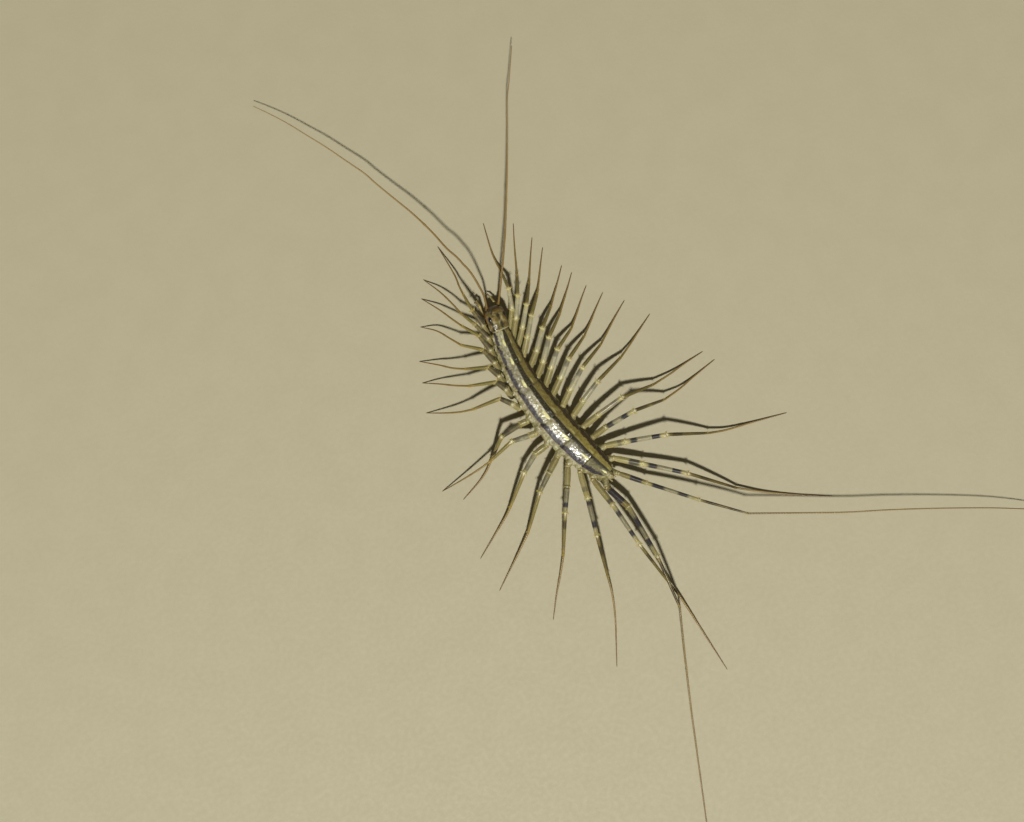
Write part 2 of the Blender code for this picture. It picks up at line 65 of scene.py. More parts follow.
def catmull(P, n):
    P = np.asarray(P, float)
    Q = np.vstack([2 * P[0] - P[1], P, 2 * P[-1] - P[-2]])
    out = []
    for i in range(1, len(Q) - 2):
        a, b, c, d = Q[i - 1], Q[i], Q[i + 1], Q[i + 2]
        for k in range(n):
            t = k / n
            out.append(0.5 * (2 * b + (c - a) * t + (2 * a - 5 * b + 4 * c - d) * t * t
                              + (3 * b - a - 3 * c + d) * t ** 3))
    out.append(Q[-2])
    return np.array(out)


# ---- body line, head first; stations s run along it in plan units
SPINE = ((492.5, 300.5), (498.0, 317.0), (504.8, 342.0), (512.5, 361.1), (524.9, 383.9),
         (547.3, 415.2), (566.1, 437.5), (585.9, 457.8), (604.0, 472.7), (610.0, 478.5),
         (618.0, 485.0))
_C = catmull(SPINE, 40)
_D = np.r_[0.0, np.cumsum(np.hypot(np.diff(_C[:, 0]), np.diff(_C[:, 1])))]
_TX = np.gradient(_C[:, 0])
_TY = np.gradient(_C[:, 1])
_K = np.hypot(_TX, _TY)
_KER = np.ones(61) / 61.0
_TX = np.convolve(np.pad(_TX / _K, 30, mode="edge"), _KER, "valid")
_TY = np.convolve(np.pad(_TY / _K, 30, mode="edge"), _KER, "valid")

# station, centre offset to the right, half width, roll (deg), height of rim plane (mm), arch (mm)
BODY = ((0.0, -2.2, 5.0, 20.0, 2.60, 0.45),
        (6.0, -2.1, 6.4, 20.0, 2.72, 0.52),
        (8.0, -2.0, 8.0, 21.0, 2.82, 0.66),
        (11.0, -1.9, 9.7, 21.5, 2.95, 0.80),
        (16.0, -1.6, 10.9, 22.0, 3.10, 0.88),
        (24.0, -1.1, 10.5, 23.0, 3.20, 0.85),
        (31.0, -0.4, 9.4, 24.0, 3.25, 0.75),
        (40.0, 0.2, 10.3, 24.0, 3.30, 0.80),
        (47.0, 0.6, 10.8, 24.0, 3.35, 0.80),
        (56.0, 1.2, 11.2, 23.0, 3.35, 0.80),
        (67.0, 1.4, 11.7, 22.0, 3.35, 0.80),
        (80.0, 1.5, 12.5, 21.0, 3.35, 0.85),
        (93.5, 1.7, 13.2, 19.0, 3.35, 0.86),
        (112.0, 2.0, 14.1, 18.0, 3.35, 0.86),
        (132.5, 2.3, 14.6, 17.0, 3.35, 0.86),
        (147.0, 2.7, 14.7, 17.0, 3.35, 0.85),
        (161.0, 3.1, 14.7, 16.5, 3.30, 0.83),
        (175.0, 3.4, 14.3, 16.0, 3.25, 0.81),
        (189.0, 3.2, 13.0, 15.0, 3.20, 0.76),
        (200.0, 2.7, 11.2, 14.0, 3.15, 0.70),
        (211.0, 2.6, 8.5, 13.0, 3.10, 0.60),
        (220.0, 2.6, 5.0, 12.0, 3.05, 0.45),
        (228.0, 2.6, 3.0, 12.0, 3.00, 0.40))
_B = np.array(BODY)


def body_row(s):
    return [float(np.interp(s, _B[:, 0], _B[:, k])) for k in range(1, 6)]


def body_frame(s):
    """Origin (mm), right, up, back unit vectors, half width and arch (mm) at station s."""
    off, hw, roll, zr, arch = body_row(s)
    cx = float(np.interp(s, _D, _C[:, 0]))
    cy = float(np.interp(s, _D, _C[:, 1]))
    tx = float(np.interp(s, _D, _TX))
    ty = float(np.interp(s, _D, _TY))
    n = math.hypot(tx, ty)
    tx, ty = tx / n, ty / n
    o = plan(cx + ty * off, cy - tx * off, zr)
    back = unplan_dir(tx, ty)
    back /= np.linalg.norm(back)
    side = unplan_dir(ty, -tx)
    side /= np.linalg.norm(side)
    r = math.radians(roll)
    zed = np.array((0.0, 0.0, 1.0))
    right = side * math.cos(r) - zed * math.sin(r)
    up = zed * math.cos(r) + side * math.sin(r)
    return o, right, up, back, hw * GRID, arch


def body_point(s, lat, h):
    """lat in mm to the right, h in mm above the rim plane, in the body's own rolled frame."""
    o, right, up, back, hw, arch = body_frame(s)
    return o + right * lat + up * h


# tergites: front and rear station of each plate
TERGITES = ((30.5, 47.0), (47.0, 67.5), (67.5, 93.5), (93.5, 132.5), (132.5, 161.0),
            (161.0, 189.0), (189.0, 211.0))

# ---- legs: plan position of hip, prefemur joint, knee, ankle, tarsus bends, tip; heights in mm
# each row: name, joints as (px, py, z)
LEGS = {
    "r01": ((510.0, 332.0, 1.95), (512.0, 308.0, 3.90), (508.5, 288.0, 4.10), (501.0, 271.0, 1.30),
            (496.0, 262.0, 0.70), (491.0, 250.0, 0.40), (483.5, 224.0, 0.25)),
    "r02": ((513.0, 339.5, 1.85), (516.0, 318.0, 3.70), (517.8, 295.0, 3.70), (516.8, 275.0, 1.30),
            (515.4, 258.0, 0.65), (514.2, 242.0, 0.35), (513.3, 224.0, 0.25)),
    "r03": ((518.0, 347.0, 1.95), (522.5, 327.5, 3.15), (526.5, 304.0, 3.05), (529.2, 283.0, 1.20),
            (530.0, 266.0, 0.65), (531.0, 250.0, 0.35), (532.0, 238.0, 0.25)),
    "r04": ((523.5, 356.0, 2.05), (527.5, 337.0, 3.05), (531.5, 315.0, 2.80), (537.5, 293.0, 1.20),
            (539.2, 278.0, 0.65), (540.6, 264.0, 0.35), (542.5, 248.0, 0.25)),
    "r05": ((530.5, 366.5, 2.00), (536.5, 351.0, 3.00), (542.3, 327.5, 2.85), (551.0, 306.0, 1.20),
            (554.5, 293.0, 0.70), (557.8, 281.0, 0.38), (561.5, 266.0, 0.25)),
    "r06": ((537.5, 377.0, 2.00), (543.0, 362.0, 3.00), (549.0, 337.0, 2.80), (560.0, 313.0, 1.20),
            (564.5, 298.0, 0.65), (568.0, 286.0, 0.36), (571.5, 273.0, 0.25)),
    "r07": ((545.5, 386.5, 2.00), (551.0, 368.0, 3.00), (557.5, 349.0, 3.10), (571.5, 328.0, 1.25),
            (576.2, 315.0, 0.68), (581.0, 300.0, 0.36), (586.0, 286.0, 0.25)),
    "r08": ((552.5, 395.5, 2.00), (560.5, 378.0, 3.00), (569.0, 358.5, 3.20), (584.5, 335.5, 1.35),
            (590.0, 323.0, 0.72), (596.0, 308.0, 0.38), (602.5, 293.0, 0.25)),
    "r09": ((563.0, 405.5, 2.00), (570.0, 390.0, 3.00), (582.5, 367.0, 2.95), (601.0, 344.0, 1.35),
            (607.8, 331.0, 0.75), (615.0, 317.0, 0.40), (624.0, 301.0, 0.25)),
    "r10": ((573.5, 415.0, 2.00), (583.0, 401.0, 3.20), (598.0, 381.0, 3.80), (621.5, 356.5, 1.45),
            (631.0, 343.0, 0.80), (640.0, 329.0, 0.42), (649.5, 314.5, 0.25)),
    "r11": ((583.5, 426.5, 2.00), (598.0, 415.0, 3.10), (622.5, 397.0, 3.80), (653.5, 384.5, 1.70),
            (670.0, 374.0, 0.95), (684.0, 364.0, 0.45), (702.0, 352.0, 0.25)),
    "r12": ((593.5, 436.5, 2.00), (606.0, 427.0, 3.40), (634.5, 410.5, 5.50), (664.5, 399.5, 2.25),
            (680.0, 388.5, 1.05), (694.0, 376.5, 0.45), (714.0, 360.0, 0.25)),
    "r13": ((605.0, 446.0, 2.05), (626.0, 441.5, 2.85), (667.0, 434.5, 4.25), (709.0, 433.0, 1.50),
            (726.0, 430.0, 0.95), (750.0, 423.0, 0.45), (786.0, 413.0, 0.25)),
    "r14": ((613.0, 458.0, 2.15), (644.0, 464.0, 2.55), (688.5, 473.5, 3.35), (737.0, 488.0, 0.90),
            (765.0, 492.0, 0.50), (795.0, 494.5, 0.34), (832.0, 496.0, 0.25)),
    "r15": ((618.0, 473.0, 2.55), (647.0, 483.0, 2.95), (700.0, 500.0, 4.60), (748.5, 513.5, 4.85),
            (805.0, 513.0, 4.65), (848.0, 512.3, 4.35), (889.0, 510.0, 4.10), (939.0, 508.4, 3.75),
            (992.0, 508.0, 3.20), (1030.0, 509.0, 2.30), (1062.0, 508.5, 0.70), (1080.0, 508.0, 0.25)),
    "l01": ((490.2, 339.6, 3.00), (483.2, 325.6, 4.50), (472.3, 310.3, 4.60), (463.0, 294.0, 3.60),
            (459.0, 286.0, 3.10), (454.0, 274.0, 2.00), (438.0, 247.0, 0.25)),
    "l02": ((492.6, 349.3, 3.00), (488.2, 338.4, 4.55), (475.0, 324.4, 4.60), (461.0, 313.5, 3.60),
            (452.0, 303.5, 3.00), (440.0, 292.0, 1.90), (424.0, 280.0, 0.25)),
    "l03": ((495.8, 360.2, 3.00), (490.5, 350.0, 4.70), (479.0, 335.6, 4.60), (462.0, 326.0, 3.60),
            (452.0, 319.0, 3.00), (439.0, 309.5, 1.90), (422.0, 299.0, 0.25)),
    "l04": ((500.2, 371.8, 3.00), (494.5, 362.5, 4.80), (482.6, 349.6, 4.60), (461.0, 345.0, 3.60),
            (450.0, 338.5, 3.00), (437.0, 331.0, 1.90), (421.0, 327.0, 0.25)),
    "l05": ((505.2, 384.0, 3.00), (499.0, 376.0, 4.85), (488.5, 367.3, 4.60), (465.0, 369.0, 3.60),
            (452.0, 368.0, 2.90), (439.0, 365.0, 1.85), (420.0, 361.5, 0.25)),
    "l06": ((512.0, 396.8, 3.00), (506.0, 389.5, 4.85), (496.0, 382.0, 4.60), (469.0, 386.0, 3.50),
            (454.0, 385.5, 2.80), (440.0, 384.0, 1.75), (423.0, 383.0, 0.25)),
    "l07": ((519.2, 408.2, 3.00), (512.5, 404.0, 4.90), (500.0, 398.5, 4.50), (472.5, 409.5, 3.30),
            (460.0, 412.0, 2.60), (445.0, 413.0, 1.60), (427.0, 413.0, 0.25)),
    "l08": ((528.4, 420.6, 2.80), (520.0, 424.3, 2.70), (501.5, 436.8, 4.20), (491.7, 459.5, 0.95),
            (487.0, 470.0, 0.55), (479.0, 482.0, 0.32), (464.0, 499.0, 0.25)),
    "l09": ((536.8, 433.0, 2.80), (530.0, 435.5, 2.60), (511.5, 441.5, 4.15), (489.5, 462.0, 3.00),
            (475.0, 472.0, 2.30), (462.0, 480.0, 1.50), (443.0, 491.0, 0.25)),
    "l10": ((546.8, 445.2, 2.85), (535.0, 454.0, 2.65), (524.0, 473.0, 3.45), (510.0, 508.0, 1.35),
            (505.0, 518.0, 0.85), (496.0, 533.0, 0.42), (481.0, 558.0, 0.25)),
    "l11": ((557.5, 456.5, 3.00), (549.0, 473.0, 3.35), (540.0, 492.0, 3.40), (528.0, 533.0, 1.30),
            (518.0, 554.0, 0.80), (510.0, 570.0, 0.42), (500.0, 590.0, 0.25)),
    "l12": ((567.8, 465.5, 3.00), (567.2, 487.0, 3.70), (565.3, 513.0, 3.80), (563.4, 556.0, 1.30),
            (560.4, 575.0, 0.80), (556.5, 596.0, 0.42), (553.5, 619.0, 0.25)),
    "l13": ((580.0, 471.5, 3.00), (588.0, 499.0, 4.00), (597.0, 536.0, 4.40), (608.0, 577.0, 1.50),
            (612.5, 595.0, 0.90), (615.6, 620.0, 0.45), (617.0, 666.0, 0.25)),
    "l14": ((592.5, 479.0, 3.00), (613.0, 505.0, 3.60), (640.0, 545.0, 4.10), (670.0, 584.0, 1.50),
            (681.0, 598.0, 0.95), (700.0, 627.0, 0.45), (727.0, 669.0, 0.25)),
    "l15": ((606.5, 487.0, 2.90), (629.0, 507.0, 3.30), (658.0, 557.0, 4.60), (680.0, 608.0, 3.40),
            (682.5, 632.0, 3.10), (685.5, 660.0, 2.90), (692.0, 715.0, 2.60), (698.0, 759.0, 2.30),
            (706.0, 817.0, 1.80), (713.0, 870.0, 1.00), (718.0, 912.0, 0.35), (720.5, 932.0, 0.25)),
}

# ---- antennae: base, then along the flagellum; the tenth or so point is the node between its two parts
ANTENNAE = {
    "l": ((486.5, 307.9, 2.82), (485.8, 303.0, 3.30), (483.4, 294.5, 4.10), (479.0, 286.0, 4.80), (475.0, 279.0, 5.40),
          (471.0, 273.0, 5.90), (467.0, 268.0, 6.20), (463.0, 264.0, 6.35), (460.0, 260.5, 6.40),
          (455.0, 255.5, 6.40), (446.0, 247.6, 6.20), (431.0, 231.0, 5.70), (412.0, 213.0, 5.20),
          (393.0, 197.5, 4.80), (376.0, 183.5, 4.50), (364.0, 173.0, 4.30), (345.0, 160.0, 4.00),
          (326.0, 147.0, 3.70), (306.5, 135.0, 3.30), (287.0, 123.0, 2.80), (268.0, 113.0, 2.30),
          (253.0, 106.0, 1.90)),
    "r": ((498.0, 304.2, 2.55), (498.8, 300.0, 2.98), (500.0, 289.5, 3.90), (501.2, 278.0, 4.50),
          (502.2, 268.0, 4.80), (503.2, 258.0, 5.00), (504.2, 245.0, 5.10), (505.2, 232.0, 5.10),
          (505.9, 212.0, 5.00), (506.5, 193.0, 4.90), (507.1, 174.0, 4.80), (507.3, 155.0, 4.60),
          (507.5, 136.0, 4.40), (507.3, 116.0, 4.20), (507.5, 97.0, 4.00), (509.0, 82.0, 3.80),
          (510.1, 67.0, 3.50), (511.1, 54.0, 3.20), (511.7, 45.5, 2.95)),
}

MM = 0.001
TRUNK_SIDE = 0.78
TRUNK_FLANK = 0.93
TRUNK_BELLY = 1.55
TAIL_AT = 213.8
EYE_AT = 18.5
EYE_R = (0.46, 0.27, 0.34)
PAIR_AT = (36.0, 45.0, 55.0, 66.5, 79.0, 92.0, 105.0, 118.5, 133.0, 147.5, 162.5, 176.5, 190.5,
           203.0, 210.5)


def trunk_share(s):
    return TRUNK_SIDE - 0.10 * max(0.0, min(1.0, (60.0 - s) / 20.0))


def flank_share(s):
    front = max(0.0, min(1.0, (78.0 - s) / 32.0))
    tail = max(0.0, min(1.0, (s - 188.0) / 12.0))
    return TRUNK_FLANK - (TRUNK_FLANK - TRUNK_SIDE + 0.10) * front - (TRUNK_FLANK - TRUNK_SIDE) * tail


def smooth(a, b, x):
    t = np.clip((np.asarray(x, float) - a) / (b - a), 0.0, 1.0)
    return t * t * (3.0 - 2.0 * t)


def band(x, lo, hi, soft):
    """1 between lo and hi, falling to 0 over soft on either side; 0.5 at the edges."""
    return smooth(lo - soft, lo + soft, x) * (1.0 - smooth(hi - soft, hi + soft, x))


def unit(v):
    v = np.asarray(v, float)
    return v / np.maximum(np.linalg.norm(v, axis=-1, keepdims=True), 1e-12)


# ====================================================================== meshes
class Shape:
    """Collects patches of one mesh, in millimetres, with numbers kept on their points."""

    def __init__(self):
        self.v, self.q, self.t, self.a, self.uv, self.n = [], [], [], {}, [], 0

    def add(self, verts, quads=(), tris=(), uv=None, **attrs):
        verts = np.asarray(verts, float).reshape(-1, 3)
        base, m = self.n, len(verts)
        quads = np.asarray(quads, int).reshape(-1, 4)
        tris = np.asarray(tris, int).reshape(-1, 3)
        self.v.append(verts)
        if len(quads):
            self.q.append(quads + base)
        if len(tris):
            self.t.append(tris + base)
        if uv is not None:
            self.uv.append(np.asarray(uv, float).reshape(-1, 2))
        for k in set(self.a) | set(attrs):
            col = self.a.setdefault(k, [np.zeros(base)] if base else [])
            val = np.asarray(attrs.get(k, 0.0), float)
            col.append(np.broadcast_to(val.reshape(-1) if val.ndim else val, (m,)).copy())
        self.n += m
        return base

    def mesh(self, name, mat, smooth_faces=True):
        V = np.vstack(self.v) * MM
        Q = np.vstack(self.q) if self.q else np.zeros((0, 4), int)
        T = np.vstack(self.t) if self.t else np.zeros((0, 3), int)
        me = bpy.data.meshes.new(name)
        me.vertices.add(len(V))
        me.vertices.foreach_set("co", V.ravel())
        me.loops.add(4 * len(Q) + 3 * len(T))
        idx = np.concatenate([Q.ravel(), T.ravel()])
        me.loops.foreach_set("vertex_index", idx)
        me.polygons.add(len(Q) + len(T))
        me.polygons.foreach_set("loop_start", np.concatenate(
            [np.arange(len(Q)) * 4, 4 * len(Q) + np.arange(len(T)) * 3]))
        me.polygons.foreach_set("use_smooth", np.full(len(Q) + len(T), smooth_faces))
        for k, cols in self.a.items():
            at = me.attributes.new(k, "FLOAT", "POINT")
            at.data.foreach_set("value", np.concatenate(cols))
        if self.uv:
            UV = np.vstack(self.uv)
            layer = me.uv_layers.new(name="OFBake")
            layer.data.foreach_set("uv", UV[idx].ravel())
        me.update(calc_edges=True)
        me.validate()
        me.materials.append(mat)
        return me


def piece(name, shape, mat, slot, *nodes, smooth_faces=True):
    ob = bpy.data.objects.new(name, shape.mesh(name, mat, smooth_faces))
    bpy.context.scene.collection.objects.link(ob)
    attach(ob, "root")
    if nodes:
        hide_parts(*nodes)
    return ob


def frames(path):
    """Tangent, side and up along a path that is never quite upright."""
    t = unit(np.gradient(path, axis=0))
    s = unit(np.cross(np.array((0.0, 0.0, 1.0)), t))
    return t, s, np.cross(t, s)


def ring_faces(rows, n):
    i, k = np.meshgrid(np.arange(rows - 1), np.arange(n), indexing="ij")
    a, b = i * n, (i + 1) * n
    k2 = (k + 1) % n
    return np.stack([a + k, a + k2, b + k2, b + k], -1).reshape(-1, 4)


def sweep(shape, path, radius, n=16, relief=None, tall=1.0, fr=None, wide=1.0, **attrs):
    """Closed limb round a path. radius is one number a row, relief one a point. Gives back its points."""
    path = np.asarray(path, float)
    m = len(path)
    t, s, u = frames(path) if fr is None else fr
    th = 2.0 * math.pi * np.arange(n) / n
    R = np.asarray(radius, float)[:, None] * np.ones(n)[None, :]
    if relief is not None:
        R = R * relief
    P = (path[:, None, :] + s[:, None, :] * (np.cos(th) * R * wide)[..., None]
         + u[:, None, :] * (np.sin(th) * R * tall)[..., None])
    verts = np.vstack([P.reshape(-1, 3), path[:1], path[-1:]])
    k = np.arange(n)
    k2 = (k + 1) % n
    c0, c1, last = m * n, m * n + 1, (m - 1) * n
    tris = np.vstack([np.stack([np.full(n, c0), k2, k], -1),
                      np.stack([np.full(n, c1), last + k, last + k2], -1)])
    full = {}
    for key, val in attrs.items():
        val = np.asarray(val, float)
        if val.ndim == 0:
            full[key] = val
        elif val.ndim == 1:
            full[key] = np.r_[np.repeat(val, n), val[0], val[-1]]
        else:
            full[key] = np.r_[val.reshape(-1), val[0].mean(), val[-1].mean()]
    full["ca"] = np.r_[np.tile(np.cos(th), m), 0.0, 0.0]
    full["sa"] = np.r_[np.tile(np.sin(th), m), 1.0, 1.0]
    shape.add(verts, ring_faces(m, n), tris, **full)
    return P


def thorns(shape, root, way, length, radius, bend=None, sides=3, steps=1, uv=None, sink=0.15, **attrs):
    """Many fine spines at once: roots (N,3), ways (N,3), lengths and radii (N,)."""
    root, way = np.asarray(root, float), unit(way)
    N = len(root)
    if not N:
        return
    length = np.broadcast_to(np.asarray(length, float), (N,))
    radius = np.broadcast_to(np.asarray(radius, float), (N,))
    bend = np.zeros((N, 3)) if bend is None else np.asarray(bend, float)
    ref = np.where(np.abs(way[:, 2:3]) > 0.9, np.array([[1.0, 0, 0]]), np.array([[0, 0, 1.0]]))
    a = unit(np.cross(way, ref))
    b = np.cross(way, a)
    rows = []
    for j in range(steps):
        w = j / steps
        c = root + way * (length * (w - sink * (1 - w)))[:, None] + bend * (length * w * w)[:, None]
        r = radius * (1.0 - w) ** 0.8
        for k in range(sides):
            q = 2 * math.pi * k / sides
            rows.append(c + a * (math.cos(q) * r)[:, None] + b * (math.sin(q) * r)[:, None])
    rows.append(root + way * length[:, None] + bend * length[:, None])
    per = sides * steps + 1
    V = np.stack(rows, 1)                                   # N, per, 3
    tris, quads = [], []
    for j in range(steps - 1):
        for k in range(sides):
            k2 = (k + 1) % sides
            quads.append((j * sides + k, j * sides + k2, (j + 1) * sides + k2, (j + 1) * sides + k))
    top = (steps - 1) * sides
    for k in range(sides):
        tris.append((top + k, top + (k + 1) % sides, per - 1))
    for k in range(1, sides - 1):
        tris.append((0, k + 1, k))
    base = (np.arange(N) * per)[:, None, None]
    T = np.array(tris)[None] + base
    Q = (np.array(quads)[None] + base) if quads else np.zeros((0, 4), int)
    full = {k: np.repeat(np.broadcast_to(np.asarray(v, float), (N,)), per) for k, v in attrs.items()}
    full["rise"] = np.tile(np.r_[np.repeat(np.arange(steps) / steps, sides), 1.0], N)
    cell = None
    if uv is not None:
        px, py = [], []
        for j in range(steps):
            for k in range(sides):
                px.append(0.0013 * math.cos(2 * math.pi * k / sides) * (1 - 0.5 * j / steps))
                py.append(-0.0013 + 0.0026 * j / steps + 0.0004 * math.sin(2 * math.pi * k / sides))
        px.append(0.0)
        py.append(0.0015)
        cell = np.asarray(uv, float)[:, None, :] + np.stack([px, py], -1)[None]
    shape.add(V, Q, T, uv=cell, **full)


def along(path, at):
    run = np.r_[0.0, np.cumsum(np.linalg.norm(np.diff(path, axis=0), axis=1))]
    return np.stack([np.interp(at, run, path[:, k]) for k in range(3)], -1), run[-1]


# ====================================================================== materials
class Net:
    """A material's node tree in a few words."""

    def __init__(self, name, rough=0.4, **sockets):
        self.m = bpy.data.materials.new(name)
        self.m.use_nodes = True
        self.t = self.m.node_tree
        self.p = self.t.nodes["Principled BSDF"]
        self.p.inputs["Roughness"].default_value = rough
        for k, v in sockets.items():
            self.p.inputs[k.replace("_", " ")].default_value = v
        self.co = self.t.nodes.new("ShaderNodeTexCoord").outputs["Object"]

    def put(self, sock, val):
        if isinstance(val, bpy.types.NodeSocket):
            self.t.links.new(val, sock)
        elif isinstance(val, (tuple, list)) and len(val) == 3 and sock.type == "RGBA":
            sock.default_value = (*val, 1.0)
        else:
            sock.default_value = val

    def attr(self, name):
        n = self.t.nodes.new("ShaderNodeAttribute")
        n.attribute_name = name
        return n.outputs["Fac"]

    def math(self, op, a, b=0.0, c=0.0, clamp=False):
        n = self.t.nodes.new("ShaderNodeMath")
        n.operation = op
        n.use_clamp = clamp
        for i, v in enumerate((a, b, c)):
            self.put(n.inputs[i], v)
        return n.outputs[0]

    def step(self, x, lo, hi, out0=0.0, out1=1.0):
        n = self.t.nodes.new("ShaderNodeMapRange")
        n.interpolation_type = "SMOOTHSTEP"
        for k, v in (("Value", x), ("From Min", lo), ("From Max", hi), ("To Min", out0), ("To Max", out1)):
            self.put(n.inputs[k], v)
        return n.outputs[0]

    def ramp(self, x, *stops, kind="LINEAR"):
        n = self.t.nodes.new("ShaderNodeValToRGB")
        r = n.color_ramp
        r.interpolation = kind
        while len(r.elements) < len(stops):
            r.elements.new(0.5)
        for e, (at, col) in zip(r.elements, stops):
            e.position = at
            e.color = (*col, 1.0)
        self.put(n.inputs["Fac"], x)
        return n.outputs["Color"]

    def mix(self, f, a, b, how="MIX"):
        n = self.t.nodes.new("ShaderNodeMix")
        n.data_type = "RGBA"
        n.blend_type = how
        self.put(n.inputs[0], f)
        self.put(n.inputs[6], a)
        self.put(n.inputs[7], b)
        return n.outputs[2]

    def vec(self, x, y, z):
        n = self.t.nodes.new("ShaderNodeCombineXYZ")
        for i, v in enumerate((x, y, z)):
            self.put(n.inputs[i], v)
        return n.outputs[0]

    def noise(self, scale, detail=2.0, rough=0.5, vec=None, warp=0.0):
        n = self.t.nodes.new("ShaderNodeTexNoise")
        self.put(n.inputs["Vector"], self.co if vec is None else vec)
        n.inputs["Scale"].default_value = scale
        n.inputs["Detail"].default_value = detail
        n.inputs["Roughness"].default_value = rough
        n.inputs["Distortion"].default_value = warp
        return n.outputs["Fac"]

    def cells(self, scale, feature="F1", vec=None, rand=1.0, smoothness=0.3):
        n = self.t.nodes.new("ShaderNodeTexVoronoi")
        n.feature = feature
        self.put(n.inputs["Vector"], self.co if vec is None else vec)
        n.inputs["Scale"].default_value = scale
        n.inputs["Randomness"].default_value = rand
        return n.outputs["Distance"]

    def bump(self, height, distance, strength=1.0, over=None):
        n = self.t.nodes.new("ShaderNodeBump")
        n.inputs["Strength"].default_value = strength
        n.inputs["Distance"].default_value = distance
        self.put(n.inputs["Height"], height)
        if over is not None:
            self.put(n.inputs["Normal"], over)
        return n.outputs["Normal"]

    def done(self, colour=None, rough=None, normal=None, **links):
        for key, val in (("Base Color", colour), ("Roughness", rough), ("Normal", normal)):
            if val is not None:
                self.put(self.p.inputs[key], val)
        for k, v in links.items():
            self.put(self.p.inputs[k.replace("_", " ")], v)
        return self.m

# ====================================================================== legs
# radius of each part of a leg along its length, as shares of that part's own radius
PREFEMUR = ((0.0, 0.70), (0.015, 0.80), (0.045, 0.88), (0.10, 0.94), (0.22, 1.0), (0.42, 1.0), (0.70, 0.97),
            (0.86, 0.91), (0.93, 0.90), (0.968, 0.98), (0.988, 0.97), (1.0, 0.84))
FEMUR = ((0.0, 0.84), (0.012, 0.94), (0.035, 1.0), (0.09, 1.02), (0.30, 0.98), (0.65, 0.90), (0.88, 0.83),
         (0.935, 0.84), (0.965, 0.95), (0.99, 0.93), (1.0, 0.78))
TIBIA = ((0.0, 0.86), (0.012, 0.96), (0.035, 1.01), (0.09, 1.0), (0.30, 0.95), (0.60, 0.84), (0.86, 0.72),
         (0.93, 0.70), (0.968, 0.74), (0.988, 0.73), (1.0, 0.64))
RIDGES = 5


def limb_sizes(pair, side):
    """Radii of prefemur, femur, tibia, tarsus and tip, thicker toward the rear walking pairs."""
    g = (pair - 1) / 14.0
    if pair == 15:
        return (0.44, 0.32, 0.225, 0.125, 0.045) if side < 0 else (0.335, 0.26, 0.185, 0.120, 0.045)
    return (0.35 + 0.085 * math.sin(math.pi * min(1.0, 0.85 * g)), 0.30 + 0.065 * math.sin(math.pi * g),
            0.220 + 0.035 * math.sin(math.pi * g), 0.140 + 0.020 * g, 0.050)


def deep_of(pair, side, seg):
    """How far a part of a leg is from the pale straw of the middle legs to dark olive."""
    if seg > 4:
        return 0.0
    if side < 0:
        table = {1: ((1, 0.53), (5, 0.53), (6, 0.39), (7, 0.05), (8, 0.30), (9, 0.05), (10, 0.43), (11, 0.48), (12, 0.30),
                     (13, 0.05), (14, 0.48), (15, 0.75)),
                 2: ((1, 0.86), (6, 0.84), (7, 0.80), (8, 0.68), (9, 0.10), (10, 0.24), (11, 0.62), (13, 0.50), (14, 0.36), (15, 0.64)),
                 3: ((1, 0.33), (4, 0.33), (5, 0.46), (6, 0.38), (8, 0.50), (9, 0.36), (10, 0.34), (12, 0.51), (13, 0.80),
                     (15, 0.78)),
                 4: ((1, 0.30), (15, 0.40))}[seg]
    else:
        table = {1: ((1, 0.36), (2, 0.45), (4, 0.28), (5, 0.46), (8, 0.46), (9, 0.31), (11, 0.30), (12, 0.46), (13, 0.10),
                     (14, 0.0), (15, 0.60)),
                 2: ((1, 0.20), (3, 0.10), (4, 0.26), (6, 0.03), (9, 0.0), (10, 0.28), (12, 0.34), (13, 0.24), (15, 0.46)),
                 3: ((1, 0.30), (3, 0.70), (4, 0.44), (5, 0.60), (7, 0.50), (9, 0.74), (10, 0.70), (11, 0.84), (12, 0.62),
                     (13, 0.88), (15, 0.88)),
                 4: ((1, 0.40), (15, 0.50))}[seg]
    t = np.array(table)
    return float(np.interp(pair, t[:, 0], t[:, 1]))


